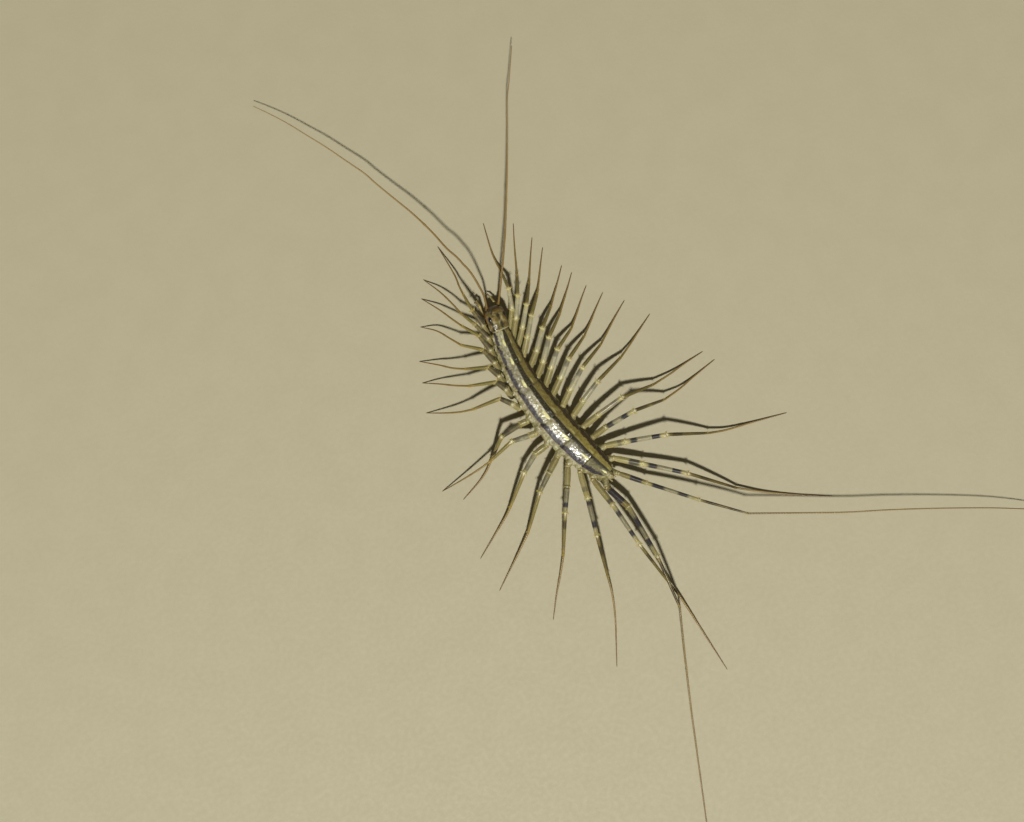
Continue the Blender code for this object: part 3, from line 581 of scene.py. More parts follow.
# bands of the rear walking legs: from, to and darkness along prefemur, femur and tibia
BANDS = {
    (1, 11): {2: ((0.58, 0.80, 0.40),)},
    (1, 12): {2: ((0.05, 0.30, 0.88), (0.55, 0.82, 0.92)), 3: ((0.02, 0.40, 0.75), (0.50, 0.92, 0.70))},
    (1, 13): {1: ((0.60, 0.80, 0.45),), 2: ((0.11, 0.31, 0.92), (0.61, 0.86, 0.95)), 3: ((0.10, 0.36, 0.80), (0.60, 0.90, 0.62))},
    (1, 14): {1: ((0.50, 0.85, 0.80),), 2: ((0.09, 0.32, 0.92), (0.61, 0.89, 0.95)), 3: ((0.18, 0.42, 0.80), (0.78, 1.00, 0.75))},
    (1, 15): {1: ((0.40, 0.83, 0.88),), 2: ((0.09, 0.34, 0.94), (0.58, 0.82, 0.90)), 3: ((0.10, 0.34, 0.80), (0.58, 0.86, 0.70))},
    (-1, 11): {1: ((0.84, 0.97, 0.40),), 2: ((0.57, 0.75, 0.50),)},
    (-1, 12): {1: ((0.92, 1.10, 0.80),), 2: ((-0.10, 0.08, 0.80), (0.59, 0.79, 0.92)), 3: ((0.14, 0.38, 0.85),)},
    (-1, 13): {1: ((0.56, 0.75, 0.45),), 2: ((0.05, 0.20, 0.88), (0.59, 0.80, 0.92)), 3: ((0.20, 0.46, 0.85),)},
    (-1, 14): {1: ((0.76, 0.92, 0.70),), 2: ((0.14, 0.31, 0.88), (0.61, 0.81, 0.92)), 3: ((0.18, 0.42, 0.80),)},
    (-1, 15): {1: ((0.10, 0.75, 0.90),), 2: ((0.20, 0.42, 0.92), (0.60, 0.83, 0.92)), 3: ((0.10, 0.36, 0.75), (0.58, 0.88, 0.72))},
}


def ink_of(pair, side, seg, w, th):
    """Where the dark bands lie (0.5 at their edges) and how dark they are."""
    rear = float(smooth(9.3, 12.8, pair) if side > 0 else smooth(8.0, 12.2, pair))
    mid = float(band(pair, 5.5, 10.5, 1.0))
    w2 = w[:, None]
    top = 0.5 + 0.5 * np.sin(th)[None, :]
    flank = np.abs(np.cos(th))[None, :]
    dark = np.zeros((len(w), len(th)))
    ink = np.zeros_like(dark)

    def lay(lo, hi, soft, strength, shape=1.0):
        nonlocal dark, ink
        d = band(w2, lo, hi, soft) * shape
        ink = np.where(d > dark, strength, ink)
        dark = np.maximum(dark, d)

    for lo, hi, strength in BANDS.get((1 if side > 0 else -1, pair), {}).get(seg, ()):
        lay(lo, hi, 0.075, strength)
    if seg == 1:
        lay(0.15, 0.85, 0.15, 0.30, 0.60 * flank)
    elif seg == 2:
        lay(0.55, 0.93, 0.14, 0.62 * mid, 0.86)
        lay(0.08, 0.93, 0.12, 0.52 if side < 0 else 0.34, 0.52 + 0.26 * flank)
    elif seg == 3:
        lay(0.08, 0.85, 0.12, 0.46, 0.66)
    elif seg == 4:
        lay(0.55, 0.95, 0.2, 0.25 + 0.2 * rear, 0.45)
    return dark, ink


class Coat:
    """Spines of one coat piece, gathered until it is made."""

    def __init__(self):
        self.shape = Shape()

    def add(self, *a, **k):
        thorns(self.shape, *a, **k)


def podomere(shape, coat, a, b, R, table, seg, pair, side, at0, total, bow=0.02, n=30, seed=0):
    """One long ridged part of a leg from joint a to joint b, with its rows of spines."""
    L = float(np.linalg.norm(b - a))
    tab = np.array(table)
    w = np.unique(np.r_[tab[:, 0], np.linspace(0.0, 1.0, 17)])
    prof = np.interp(w, tab[:, 0], tab[:, 1])
    d = (b - a) / L
    lift = unit(np.cross(d, np.cross(np.array((0, 0, 1.0)), d)))
    start = -0.35 * R / L
    ww = np.r_[start, start * 0.55, w]
    pp = np.r_[0.22 * prof[0], 0.75 * prof[0], prof]
    path = a + (b - a) * ww[:, None] + lift * (bow * L * 4 * np.clip(ww * (1 - ww), 0, 1))[:, None]
    th = 2.0 * math.pi * np.arange(n) / n
    c = np.abs(np.cos(0.5 * RIDGES * (th - math.pi / 2))) ** 4
    amp = 0.15 * band(ww, 0.10, 0.93, 0.07)
    relief = 1.0 + amp[:, None] * (c - 0.38)[None, :]
    dark, ink = ink_of(pair, side, seg, np.clip(ww, 0, 1), th)
    run = 0.1 + 0.2 * (seg - 1) + 0.2 * np.clip(ww, 0, 1)
    mm = at0 + L * ww
    wc = np.clip(ww, 0, 1)
    deep = deep_of(pair, side, seg) * np.ones(len(ww))
    if seg < 3:
        deep = deep + (deep_of(pair, side, seg + 1) - deep) * 0.5 * smooth(0.94, 1.0, wc)
    if seg > 1:
        deep = deep + (deep_of(pair, side, seg - 1) - deep) * 0.5 * (1 - smooth(0.0, 0.06, wc))
    P = sweep(shape, path, R * pp, n, relief, tall=0.94, run=run, dark=dark, ink=ink, along=mm,
              ridge=amp[:, None] / 0.15 * c[None, :], pair=pair / 15.0, rise=0.0, deep=deep)
    rng = np.random.default_rng(1000 * pair + 10 * seg + (side > 0) + seed)
    t, s, u = frames(path)
    # rows of short spines down the ridges
    gap = 0.165 if seg < 3 else 0.15
    for k in range(RIDGES):
        ang = math.pi / 2 + 2 * math.pi * k / RIDGES
        N = max(4, int(L * 0.86 / gap))
        f = np.linspace(0.09, 0.955, N) + rng.uniform(-0.3, 0.3, N) * gap / L
        aa = ang + rng.normal(0, 0.17, N)
        place(coat, path, ww, R * pp, relief, n, f, aa, t, s, u, rng, 0.120, 0.0140, 0.85, pair, side, seg, at0, L,
              total)
    # fine hairs between them
    N = int(L * 26)
    place(coat, path, ww, R * pp, relief, n, rng.uniform(0.05, 0.97, N), rng.uniform(0, 2 * math.pi, N), t, s, u,
          rng, 0.085, 0.0085, 0.9, pair, side, seg, at0, L, total)
    # crown of long spurs at the far end
    count = {1: 12, 2: 15, 3: 7}[seg]
    long = {1: 0.38, 2: 0.42, 3: 0.32}[seg] * (1.0 if pair < 15 else 0.8)
    ang = math.pi / 2 + 2 * math.pi * (np.arange(count) + 0.5 * (seg % 2)) / count
    place(coat, path, ww, R * pp, relief, n, 0.950 + 0.018 * (np.arange(count) % 3), ang, t, s, u, rng, long,
          0.044 if seg < 3 else 0.030, 0.56, pair, side, seg, at0, L, total, sides=6, steps=4, curve=-0.10, spur=0.85)
    return path, d


def place(coat, path, ww, rad, relief, n, f, ang, t, s, u, rng, length, radius, lean, pair, side, seg, at0, L, total,
          sides=3, steps=1, curve=0.0, spur=0.0):
    """Spines at fractions f and angles ang of a limb, leaning to its far end."""
    f = np.clip(f, 0.0, 1.0)
    N = len(f)
    if not N:
        return
    c = np.stack([np.interp(f, ww, path[:, k]) for k in range(3)], -1)
    S = unit(np.stack([np.interp(f, ww, s[:, k]) for k in range(3)], -1))
    U = unit(np.stack([np.interp(f, ww, u[:, k]) for k in range(3)], -1))
    T = unit(np.stack([np.interp(f, ww, t[:, k]) for k in range(3)], -1))
    kk = np.round(np.mod(ang, 2 * math.pi) / (2 * math.pi) * n).astype(int) % n
    rr = np.interp(f, ww, rad)
    row = np.clip(np.searchsorted(ww, f), 0, len(ww) - 1)
    rr = rr * (relief[row, kk] if relief is not None else 1.0)
    out = S * np.cos(ang)[:, None] + U * np.sin(ang)[:, None]
    root = c + out * (rr * 0.965)[:, None]
    way = T * lean + out * (1.0 - 0.55 * lean)
    way = way + rng.normal(0, 0.07, (N, 3))
    dark, ink = ink_of(pair, side, seg, f, np.array([0.0, math.pi / 2]))
    ln = length * rng.uniform(0.8, 1.15, N)
    uv = np.stack([0.02 + 0.96 * (at0 + L * f) / total,
                   (pair - 1 + 0.12 + 0.76 * np.mod(ang, 2 * math.pi) / (2 * math.pi)) / 15.0], -1)
    coat.add(root, way, ln, radius, bend=out * curve, sides=sides, steps=steps, uv=uv,
             run=0.1 + 0.2 * (seg - 1) + 0.2 * f, dark=dark.mean(1), ink=ink.mean(1), along=at0 + L * f,
             ca=np.cos(ang), sa=np.sin(ang), ridge=0.0, pair=pair / 15.0, deep=deep_of(pair, side, seg), spur=spur)


def jointed(shape, coat, path, r0, r1, pitch, n, run0, run1, pair, side, at0, total, seg=4, swell=(), hair=0.12,
            hairs=5, taper=0.8, seed=0, low=0.0):
    """A whip of many short rings: tarsus or antenna."""
    _, L = along(path, 0.0)
    edges = [0.0]
    while edges[-1] < L:
        f = edges[-1] / L
        edges.append(edges[-1] + pitch * (1.15 - 0.35 * f))
    edges = np.array(edges) * (L / edges[-1])
    loc = np.array((0.02, 0.16, 0.5, 0.86))
    mul = np.array((0.84, 0.98, 1.0, 1.05))
    at = (edges[:-1, None] + np.diff(edges)[:, None] * loc[None, :]).ravel()
    rel = np.tile(mul, len(edges) - 1)
    ann = np.tile(loc, len(edges) - 1)
    at = np.r_[-0.10, at, L]
    rel = np.r_[0.4, rel, 0.6]
    ann = np.r_[0.5, ann, 0.9]
    f = np.clip(at / L, 0, 1)
    rad = (r1 + (r0 - r1) * (1 - f) ** taper) * rel
    for c, width, k in swell:
        rad *= 1.0 + k * np.exp(-((at - c * L) / width) ** 2)
    pts, _ = along(path, at)
    pts[0] = path[0] - unit(path[1] - path[0]) * 0.10
    pts[:, 2] = np.maximum(pts[:, 2], low + rad)
    th = 2.0 * math.pi * np.arange(n) / n
    dark, ink = ink_of(pair, side, seg, f, th)
    sweep(shape, pts, rad, n, run=run0 + (run1 - run0) * f, dark=dark, ink=ink, along=at0 + at, ridge=0.0,
          pair=pair / 15.0, rise=0.0, ann=1.0 - smooth(0.0, 0.2, ann), deep=0.0 if seg != 4 else
          deep_of(pair, side, 3) * (1 - smooth(0.0, 0.25, f)) + deep_of(pair, side, 4) * smooth(0.0, 0.25, f))
    rng = np.random.default_rng(77 * pair + 5 * (side > 0) + seed)
    t, s, u = frames(pts)
    m = len(edges) - 1
    fr = ((edges[:-1] + np.diff(edges) * 0.88) / L).repeat(hairs)
    base = rng.uniform(0, 2 * math.pi, m).repeat(hairs)
    ang = base + np.tile(np.arange(hairs), m) * 2 * math.pi / hairs + rng.normal(0, 0.15, m * hairs)
    c = np.stack([np.interp(fr, f, pts[:, k]) for k in range(3)], -1)
    S, U, T = (unit(np.stack([np.interp(fr, f, q[:, k]) for k in range(3)], -1)) for q in (s, u, t))
    out = S * np.cos(ang)[:, None] + U * np.sin(ang)[:, None]
    rr = np.interp(fr, f, rad)
    way = T * 0.8 + out * 0.62 + rng.normal(0, 0.06, (len(fr), 3))
    ln = hair * rng.uniform(0.75, 1.2, len(fr)) * (0.65 + 0.35 * (1 - fr))
    keep = (c[:, 2] + out[:, 2] * rr + unit(way)[:, 2] * ln) > low + 0.004
    v0 = (pair - 1 + 0.12 + 0.76 * np.mod(ang, 2 * math.pi) / (2 * math.pi)) / 15.0
    uv = np.stack([0.02 + 0.96 * (at0 + L * fr) / total, v0], -1)
    coat.add((c + out * (rr * 0.95)[:, None])[keep], way[keep], ln[keep], 0.0072, uv=uv[keep],
             run=(run0 + (run1 - run0) * fr)[keep], dark=0.0, ink=0.0, along=(at0 + L * fr)[keep],
             ca=np.cos(ang)[keep], sa=np.sin(ang)[keep], ridge=0.0, pair=pair / 15.0,
             deep=0.0 if seg != 4 else deep_of(pair, side, 4), spur=0.0)
    return pts, rad


def knuckle(shape, c, r, d, run, pair, deep=0.0):
    """The soft skin that shows in a joint."""
    lift = np.array([-1.0, -0.8, -0.45, 0.0, 0.45, 0.8, 1.0])
    rad = r * np.sqrt(np.maximum(0.02, 1 - lift ** 2))
    sweep(shape, c + d[None, :] * (lift * r * 0.9)[:, None], rad, 16, run=run, dark=0.0, ink=0.0, along=0.0,
          ridge=0.0, pair=pair / 15.0, rise=0.0, deep=deep)


def leg_root(name):
    side = -1.0 if name[0] == "l" else 1.0
    pair = int(name[1:])
    s = PAIR_AT[pair - 1]
    if pair == 15:
        f = body_frame(TAIL_AT)
        return body_point(TAIL_AT, side * 0.62, -0.82), f[3]
    o, right, up, back, hw, arch = body_frame(s)
    return body_point(s, side * (flank_share(s) * hw + 0.13), -0.95 if pair < 14 else -0.80), right * side


def make_leg(name, coat, mat):
    side = -1.0 if name[0] == "l" else 1.0
    pair = int(name[1:])
    root, face = leg_root(name)
    pre, fem, tib, tar, tip = limb_sizes(pair, side)
    J = [plan(*q) for q in LEGS[name]]
    whip = np.array(J[3:])
    gone = np.r_[0.0, np.cumsum(np.linalg.norm(np.diff(whip, axis=0), axis=1))]
    gone /= gone[-1]
    whip[:, 2] -= (0.25 - tip - 0.004) * gone ** 0.6
    tarsus = catmull(whip, 10)
    lens = [float(np.linalg.norm(J[i + 1] - J[i])) for i in range(3)]
    _, lt = along(tarsus, 0.0)
    total = 1.0 + sum(lens) + lt
    shape = Shape()
    # coxa, from inside the flank to the hip
    d1 = unit(J[1] - J[0])
    k = 0.53 if pair < 15 else 0.38
    k *= 0.80 + 0.20 * float(smooth(2.5, 6.0, pair))
    cx = catmull([root - face * 0.42, root - face * 0.10, root * 0.5 + J[0] * 0.5 + face * 0.02, J[0] + d1 * 0.02], 6)
    w = np.linspace(0, 1, len(cx))
    ends = pre / k
    rr = np.interp(w, (0, 0.12, 0.35, 0.62, 0.85, 0.95, 1.0), (0.6, 0.98, 1.06, 1.0, 0.5 + 0.5 * ends, ends, 0.8 * ends)) * k
    th = 2.0 * math.pi * np.arange(24) / 24
    relief = 1.0 + 0.05 * np.cos(3 * th + 0.6)[None, :] * band(w, 0.2, 0.9, 0.1)[:, None]
    sweep(shape, cx, rr, 24, relief, wide=1.0 + 0.20 * (1 - smooth(0.45, 0.9, w))[:, None], run=0.10 * w, dark=0.0,
          ink=0.0, along=w, ridge=0.0, pair=pair / 15.0, rise=0.0, deep=0.4 * deep_of(pair, side, 1) * w)
    # trochanter
    tr = J[0] + d1[None, :] * np.linspace(-0.10, 0.30, 7)[:, None]
    sweep(shape, tr, pre * np.array((0.6, 0.92, 0.99, 1.0, 0.97, 0.92, 0.6)), 20, run=0.105, dark=0.0, ink=0.0,
          along=1.0, ridge=0.0, pair=pair / 15.0, rise=0.0, deep=0.6 * deep_of(pair, side, 1))
    at = 1.0
    a = J[0] + d1 * 0.16
    p1, _ = podomere(shape, coat, a, J[1], pre, PREFEMUR, 1, pair, side, at, total, 0.012)
    at += lens[0]
    d2 = unit(J[2] - J[1])
    knuckle(shape, J[1], fem * 0.94, d2, 0.298, pair, 0.5 * deep_of(pair, side, 2))
    podomere(shape, coat, J[1] + d2 * 0.04, J[2], fem, FEMUR, 2, pair, side, at, total, 0.016)
    at += lens[1]
    d3 = unit(J[3] - J[2])
    knuckle(shape, J[2], tib * 1.04, unit(d2 + d3), 0.498, pair, 0.5 * deep_of(pair, side, 2))
    podomere(shape, coat, J[2] + d3 * 0.05, J[3], tib, TIBIA, 3, pair, side, at, total, 0.022)
    at += lens[2]
    bulge = ((0.42, 0.25, 0.14),) if pair < 15 else ((0.22, 0.35, 0.10),)
    pts, rad = jointed(shape, coat, tarsus, tar, tip, 0.30 if pair < 15 else 0.34, 12 if pair < 15 else 10,
                       0.70, 1.0, pair, side, at, total, swell=bulge, hair=0.13 if pair < 15 else 0.10,
                       hairs=5 if pair < 15 else 4)
    # claw
    d = unit(pts[-1] - pts[-3])
    q = np.linspace(0, 1, 7)
    claw = pts[-1] - d * 0.03 + d[None, :] * (0.24 * q)[:, None]
    claw[:, 2] -= 0.042 * q ** 2
    cr = 0.040 * (1 - q) ** 0.8 + 0.003
    claw[:, 2] = np.maximum(claw[:, 2], cr + 0.001)
    sweep(shape, claw, cr, 8, run=1.0, dark=1.0, ink=0.9, along=total, ridge=0.0, pair=pair / 15.0, rise=0.0, deep=0.5)
    ob = piece("leg_skin_" + name, shape, mat, "leg_front" if pair < 10 else "leg_rear", "leg_" + name)
    return ob

# ====================================================================== body
_ST = np.arange(-6.0, 232.01, 0.5)
_FR = [body_frame(float(s)) for s in _ST]
_TAB = np.array([np.r_[f[0], f[1], f[2], f[3], f[4], f[5]] for f in _FR])


def at_body(s, lat, h):
    """Body points for whole arrays of stations, side and height (mm)."""
    s, lat, h = np.broadcast_arrays(np.asarray(s, float), np.asarray(lat, float), np.asarray(h, float))
    g = [np.interp(s, _ST, _TAB[:, k]) for k in range(9)]
    o, r, u = (np.stack(g[i:i + 3], -1) for i in (0, 3, 6))
    return o + unit(r) * lat[..., None] + unit(u) * h[..., None]


def half_width(s):
    return np.interp(s, _ST, _TAB[:, 12])


def arch_of(s):
    return np.interp(s, _ST, _TAB[:, 13])


def body_axes(s):
    g = [np.interp(s, _ST, _TAB[:, k]) for k in range(3, 12)]
    return tuple(unit(np.stack(g[i:i + 3], -1)) for i in (0, 3, 6))


# the plates' cross-section: slope in degrees against distance from the middle line
_X = np.linspace(0, 1, 201)
_SLOPE = np.interp(_X, (0.0, 0.14, 0.20, 0.27, 0.34, 0.60, 0.85, 0.95, 1.0),
                   (0.0, 3.0, 22.0, 25.0, 13.0, 25.0, 36.0, 47.0, 56.0))
_BACK = np.interp(_X, (0.0, 0.06, 0.12, 0.25, 0.34, 0.60, 0.85, 0.95, 1.0),
                  (0.0, 11.0, 18.0, 20.0, 30.0, 34.0, 37.0, 46.0, 56.0))


def fall(slope):
    d = np.r_[0.0, np.cumsum(np.tan(np.radians(0.5 * (slope[1:] + slope[:-1]))) * np.diff(_X))]
    return d / d[-1]


_DROP, _DROP_BACK = fall(_SLOPE), fall(_BACK)


def vault(x, back=0.0):
    x = np.abs(x)
    return 1.0 - (1.0 - back) * np.interp(x, _X, _DROP) - back * np.interp(x, _X, _DROP_BACK)


def grid_faces(rows, cols, flip=False):
    i, k = np.meshgrid(np.arange(rows - 1), np.arange(cols - 1), indexing="ij")
    a = i * cols + k
    q = np.stack([a, a + 1, a + cols + 1, a + cols], -1).reshape(-1, 4)
    return q[:, ::-1] if flip else q


def lumps(P, scale, seed):
    """Smooth random relief, about -1 to 1, at points P (mm)."""
    q = (np.asarray(P).reshape(-1, 3) * scale) + seed
    return np.array([noise.noise(Vector(v)) for v in q]).reshape(np.asarray(P).shape[:-1])


def make_plate(i, s0, s1, coat, mat):
    first, last = i == 0, i == 6
    C, R = 113, 61 if s1 - s0 < 30 else 73
    X = np.linspace(-1, 1, C)
    X = np.sign(X) * (1 - (1 - np.abs(X)) ** 1.12)
    w = np.linspace(0, 1, R)
    w = w + 0.035 * np.sin(2 * np.pi * w) * -1
    W, XX = np.meshgrid(w, X, indexing="ij")
    ax = np.abs(XX)
    corner = (3.6 if not last else 7.5) * smooth(0.66, 1.0, ax) ** 1.7
    notch = 1.0 * np.exp(-(XX / 0.20) ** 2) + (0.0 if not last else -1.0 * np.exp(-(XX / 0.30) ** 2))
    front = (3.0 if first else 1.2) * smooth(0.75, 1.0, ax) ** 2
    a = (s0 - 0.2 if first else s0 - 1.9) + front
    b = s1 + 0.9 - corner - notch
    S = a + (b - a) * W
    hw, arch = half_width(S), arch_of(S)
    trim = 1.0 - 0.035 * smooth(0.80, 1.0, W) - (0.05 * (1 - smooth(0.0, 0.12, W)) if first else 0.0)
    lat = hw * trim * XX
    # lengthwise swell: highest a little behind the front edge, falling to the rear
    lift, slope = ((0.05, 0.05), (0.05, 0.05), (0.05, 0.05), (0.09, 0.0), (0.20, 0.0), (0.165, 0.0), (0.03, 0.22))[i]
    lo, hi = (0.20, 0.20, 0.20, 0.10, 0.07, 0.07, 0.20)[i], (1.0, 1.0, 1.0, 0.86, 0.80, 0.80, 1.0)[i]
    crown = arch * vault(XX, (0.0, 0.0, 0.0, 0.35, 1.0, 1.0, 0.6)[i]) + slope * W + lift * (smooth(0.0, 0.26, W) - 1.25 * smooth(lo, hi, W) * (not last))
    if not first:
        crown = crown - 0.15 * (1 - smooth(0.02, 0.13, W))       # tucked under the plate in front
    else:
        crown = crown - 0.10 * (1 - smooth(0.0, 0.10, W))
    crown = crown + 0.042 * band(ax, 0.945, 1.1, 0.018) * smooth(0.04, 0.14, W)      # raised rim at the side
    crown = crown + 0.010 * band(W, 0.965, 1.2, 0.012)                               # and along the rear edge
    # saddle with its breathing slit, in the middle of the rear edge
    if not last:
        hump = np.exp(-(XX / 0.125) ** 2) * band(W, 0.80, 1.02, 0.05)
        crown = crown + 0.070 * hump
        crown = crown - 0.075 * np.exp(-(XX / 0.020) ** 2) * band(W, 0.85, 0.99, 0.02)
        crown = crown + 0.018 * np.exp(-((ax - 0.05) / 0.02) ** 2) * band(W, 0.84, 1.0, 0.02)
    # shallow hollows either side of the middle and the swollen pale spots
    crown = crown - 0.010 * np.exp(-((ax - 0.18) / 0.06) ** 2) * band(W, 0.15, 0.90, 0.08)
    length = (7.2, 7.6, 8.4, 10.0, 10.5, 8.2, 5.5)[i]
    w0 = 1.0 - length / (s1 - s0) - 0.03
    v = np.clip((W - w0) / (0.975 - w0), 0, 1)
    drop_w = (0.140, 0.140, 0.138, 0.135, 0.135, 0.135, 0.120)[i] * np.where(XX > 0, 0.85, 1.0) * np.minimum(1.0, (v * 1.25) ** 0.8) * np.sqrt(np.clip((1.02 - v) / 0.35, 0.0, 1.0))
    near = np.abs(ax - ((0.350, 0.340, 0.330, 0.325, 0.315, 0.310, 0.300)[i] + 0.02 * (1 - v)))
    spot = np.clip(0.5 + (drop_w - near) / 0.13, 0, 1) * (v > 0)
    crown = crown + 0.012 * smooth(0.3, 0.8, spot)
    P = at_body(S, lat, crown)
    r, u, bk = body_axes(S)
    normal = u
    g = lumps(P, 2.2, 11.0 + i) * 0.022 + lumps(P, 5.0, 3.0 + i) * 0.011
    pits = lumps(P, 12.0, 31.0 + i)
    g = g + 0.003 * pits
    P = P + normal * (g * smooth(0.0, 0.08, W))[..., None]
    thick = (0.100 - 0.030 * ax) * (1 - 0.45 * smooth(0.9, 1.0, W))
    low = P - normal * thick[..., None] - (r * np.sign(XX)[..., None]) * (0.035 * smooth(0.9, 1.0, ax))[..., None]
    # colour fields
    k = (0.245, 0.230, 0.220, 0.200, 0.175, 0.165, 0.165)[i]
    lead = (0.50 + 0.50 * smooth(0.0, 0.7, W)) if first else 0.76 + 0.16 * smooth(0.0, 0.35, W) + 0.16 * smooth(0.55, 0.92, W)
    lead = lead * (1.0 - (0.45 * smooth(0.6, 1.0, W) if last else 0.0))
    med = 0.5 + ((1.05 if i < 2 else 1.0) * k * lead - ax) / 0.14
    sg = np.sign(XX)
    wig = (0.026 * np.sin(W * 17 + i + 1.7 * sg) + 0.020 * np.sin(W * 37 + 2 * i + sg) + 0.014 * np.sin(W * 71 + 5 * i))
    inner = ((0.75, 0.745, 0.715, 0.70, 0.675, 0.655, 0.640)[i] + wig + 0.11 * (1 - smooth(0, 0.28, W))
             + 0.10 * smooth(0.86, 1.0, W))
    edge = 0.5 + (ax - inner) / 0.20
    rim = 0.5 + (ax - 0.97) / 0.025
    rear = 0.5 + (W - 0.975) / 0.03
    rear = np.maximum(rear, (0.5 + (S - b + 0.9) / 0.8) * smooth(0.5, 0.7, ax))
    shape = Shape()
    n = R * C
    # the yellow spots are the plate's own pattern; on the right half they are damped to 0.46 as painted shade
    fields = dict(lx=XX.ravel(), lw=W.ravel(), med=np.clip(med, 0, 1).ravel(), edge=np.clip(edge, 0, 1).ravel(),
                  rim=np.clip(np.maximum(rim, 0), 0, 1).ravel(), rear=np.clip(rear, 0, 1).ravel(),
                  spot=(spot * np.where(XX > 0, 0.46, 1.0)).ravel(), st=S.ravel())
    top_q = grid_faces(R, C, flip=False)
    verts = np.vstack([P.reshape(-1, 3), low.reshape(-1, 3)])
    low_q = grid_faces(R, C, flip=True) + n
    loop = np.r_[np.arange(C), C * np.arange(1, R) + C - 1, (R - 1) * C + np.arange(C - 2, -1, -1),
                 C * np.arange(R - 2, 0, -1)]
    nxt = np.roll(loop, -1)
    side = np.stack([loop, nxt, nxt + n, loop + n], -1)
    quads = np.vstack([top_q, low_q, side[:, ::-1]])
    # outward test on the top face: its normal must follow the body's up
    q0 = top_q[len(top_q) // 2]
    nn = np.cross(verts[q0[1]] - verts[q0[0]], verts[q0[2]] - verts[q0[0]])
    if nn @ u.reshape(-1, 3)[q0[0]] < 0:
        quads = quads[:, ::-1]
    shape.add(verts, quads, **{key: np.r_[val, val] for key, val in fields.items()})
    # spines over the plate
    rng = np.random.default_rng(40 + i)
    N = int(7.5 * (s1 - s0))
    ii = rng.integers(4, R - 2, N)
    kk = rng.integers(3, C - 3, N)
    edge_n = int(2.2 * (s1 - s0))
    ii = np.r_[ii, np.linspace(5, R - 4, edge_n).astype(int), np.linspace(5, R - 4, edge_n).astype(int),
               np.full(26, R - 2)]
    kk = np.r_[kk, np.full(edge_n, 2), np.full(edge_n, C - 3), np.linspace(6, C - 7, 26).astype(int)]
    root, uu, bb, rt = P[ii, kk], u[ii, kk], bk[ii, kk], r[ii, kk]
    xs = XX[ii, kk]
    tilt = uu + rt * (xs * 0.7)[:, None]
    way = bb * 0.8 + tilt * 0.55 + rng.normal(0, 0.10, (len(ii), 3))
    ln = np.r_[rng.uniform(0.07, 0.13, N), np.full(2 * edge_n, 0.12), np.full(26, 0.10)]
    uv = np.stack([0.02 + 0.96 * S[ii, kk] / 230.0, 0.5 + 0.45 * xs], -1)
    coat.add(root - uu * 0.01, way, ln * rng.uniform(0.85, 1.15, len(ii)), 0.0115, uv=uv, tone=0.35)
    return piece("plate_%d" % (i + 1), shape, mat, "plate", "tergite_%d" % (i + 1))


def trunk_ring(s, n=72):
    """Smooth closed section of the trunk (side, height) with the hips' swellings left out."""
    hw, arch = float(half_width(s)), float(arch_of(s))
    w = trunk_share(s) * hw
    q = flank_share(s) * hw
    roof = 0.30
    ex = 0.26 * math.exp(-((s - 137.0) / 27.0) ** 2) + 0.05
    half = [(0.0, arch - roof), (0.30 * w, arch * (1 - (0.30 * w / hw) ** 2) - roof),
            (0.62 * w, arch * (1 - (0.62 * w / hw) ** 2) - roof), (0.92 * w, arch * (1 - (0.92 * w / hw) ** 2) - roof - 0.06),
            (0.5 * w + 0.5 * q + 0.10, -0.36), (q + 0.30 + 0.7 * ex, -0.60), (q + 0.42 + ex, -0.88), (q + 0.30 + 0.6 * ex, -1.16),
            (0.86 * w + 0.06, -1.38), (0.58 * w, -1.48), (0.30 * w, -1.53), (0.0, -TRUNK_BELLY)]
    ring = half + [(-a, b) for a, b in half[-2:0:-1]]
    P = np.array(ring)
    Q = np.vstack([P[-1], P, P[:2]])
    out = []
    for i in range(1, len(Q) - 2):
        a, b, c, d = Q[i - 1], Q[i], Q[i + 1], Q[i + 2]
        for k in range(6):
            t = k / 6.0
            out.append(0.5 * (2 * b + (c - a) * t + (2 * a - 5 * b + 4 * c - d) * t * t
                              + (3 * b - a - 3 * c + d) * t ** 3))
    out = np.array(out)
    run = np.r_[0, np.cumsum(np.linalg.norm(np.diff(np.vstack([out, out[:1]]), axis=0), axis=1))]
    at = np.linspace(0, run[-1], n, endpoint=False)
    closed = np.vstack([out, out[:1]])
    return np.stack([np.interp(at, run, closed[:, k]) for k in range(2)], -1)


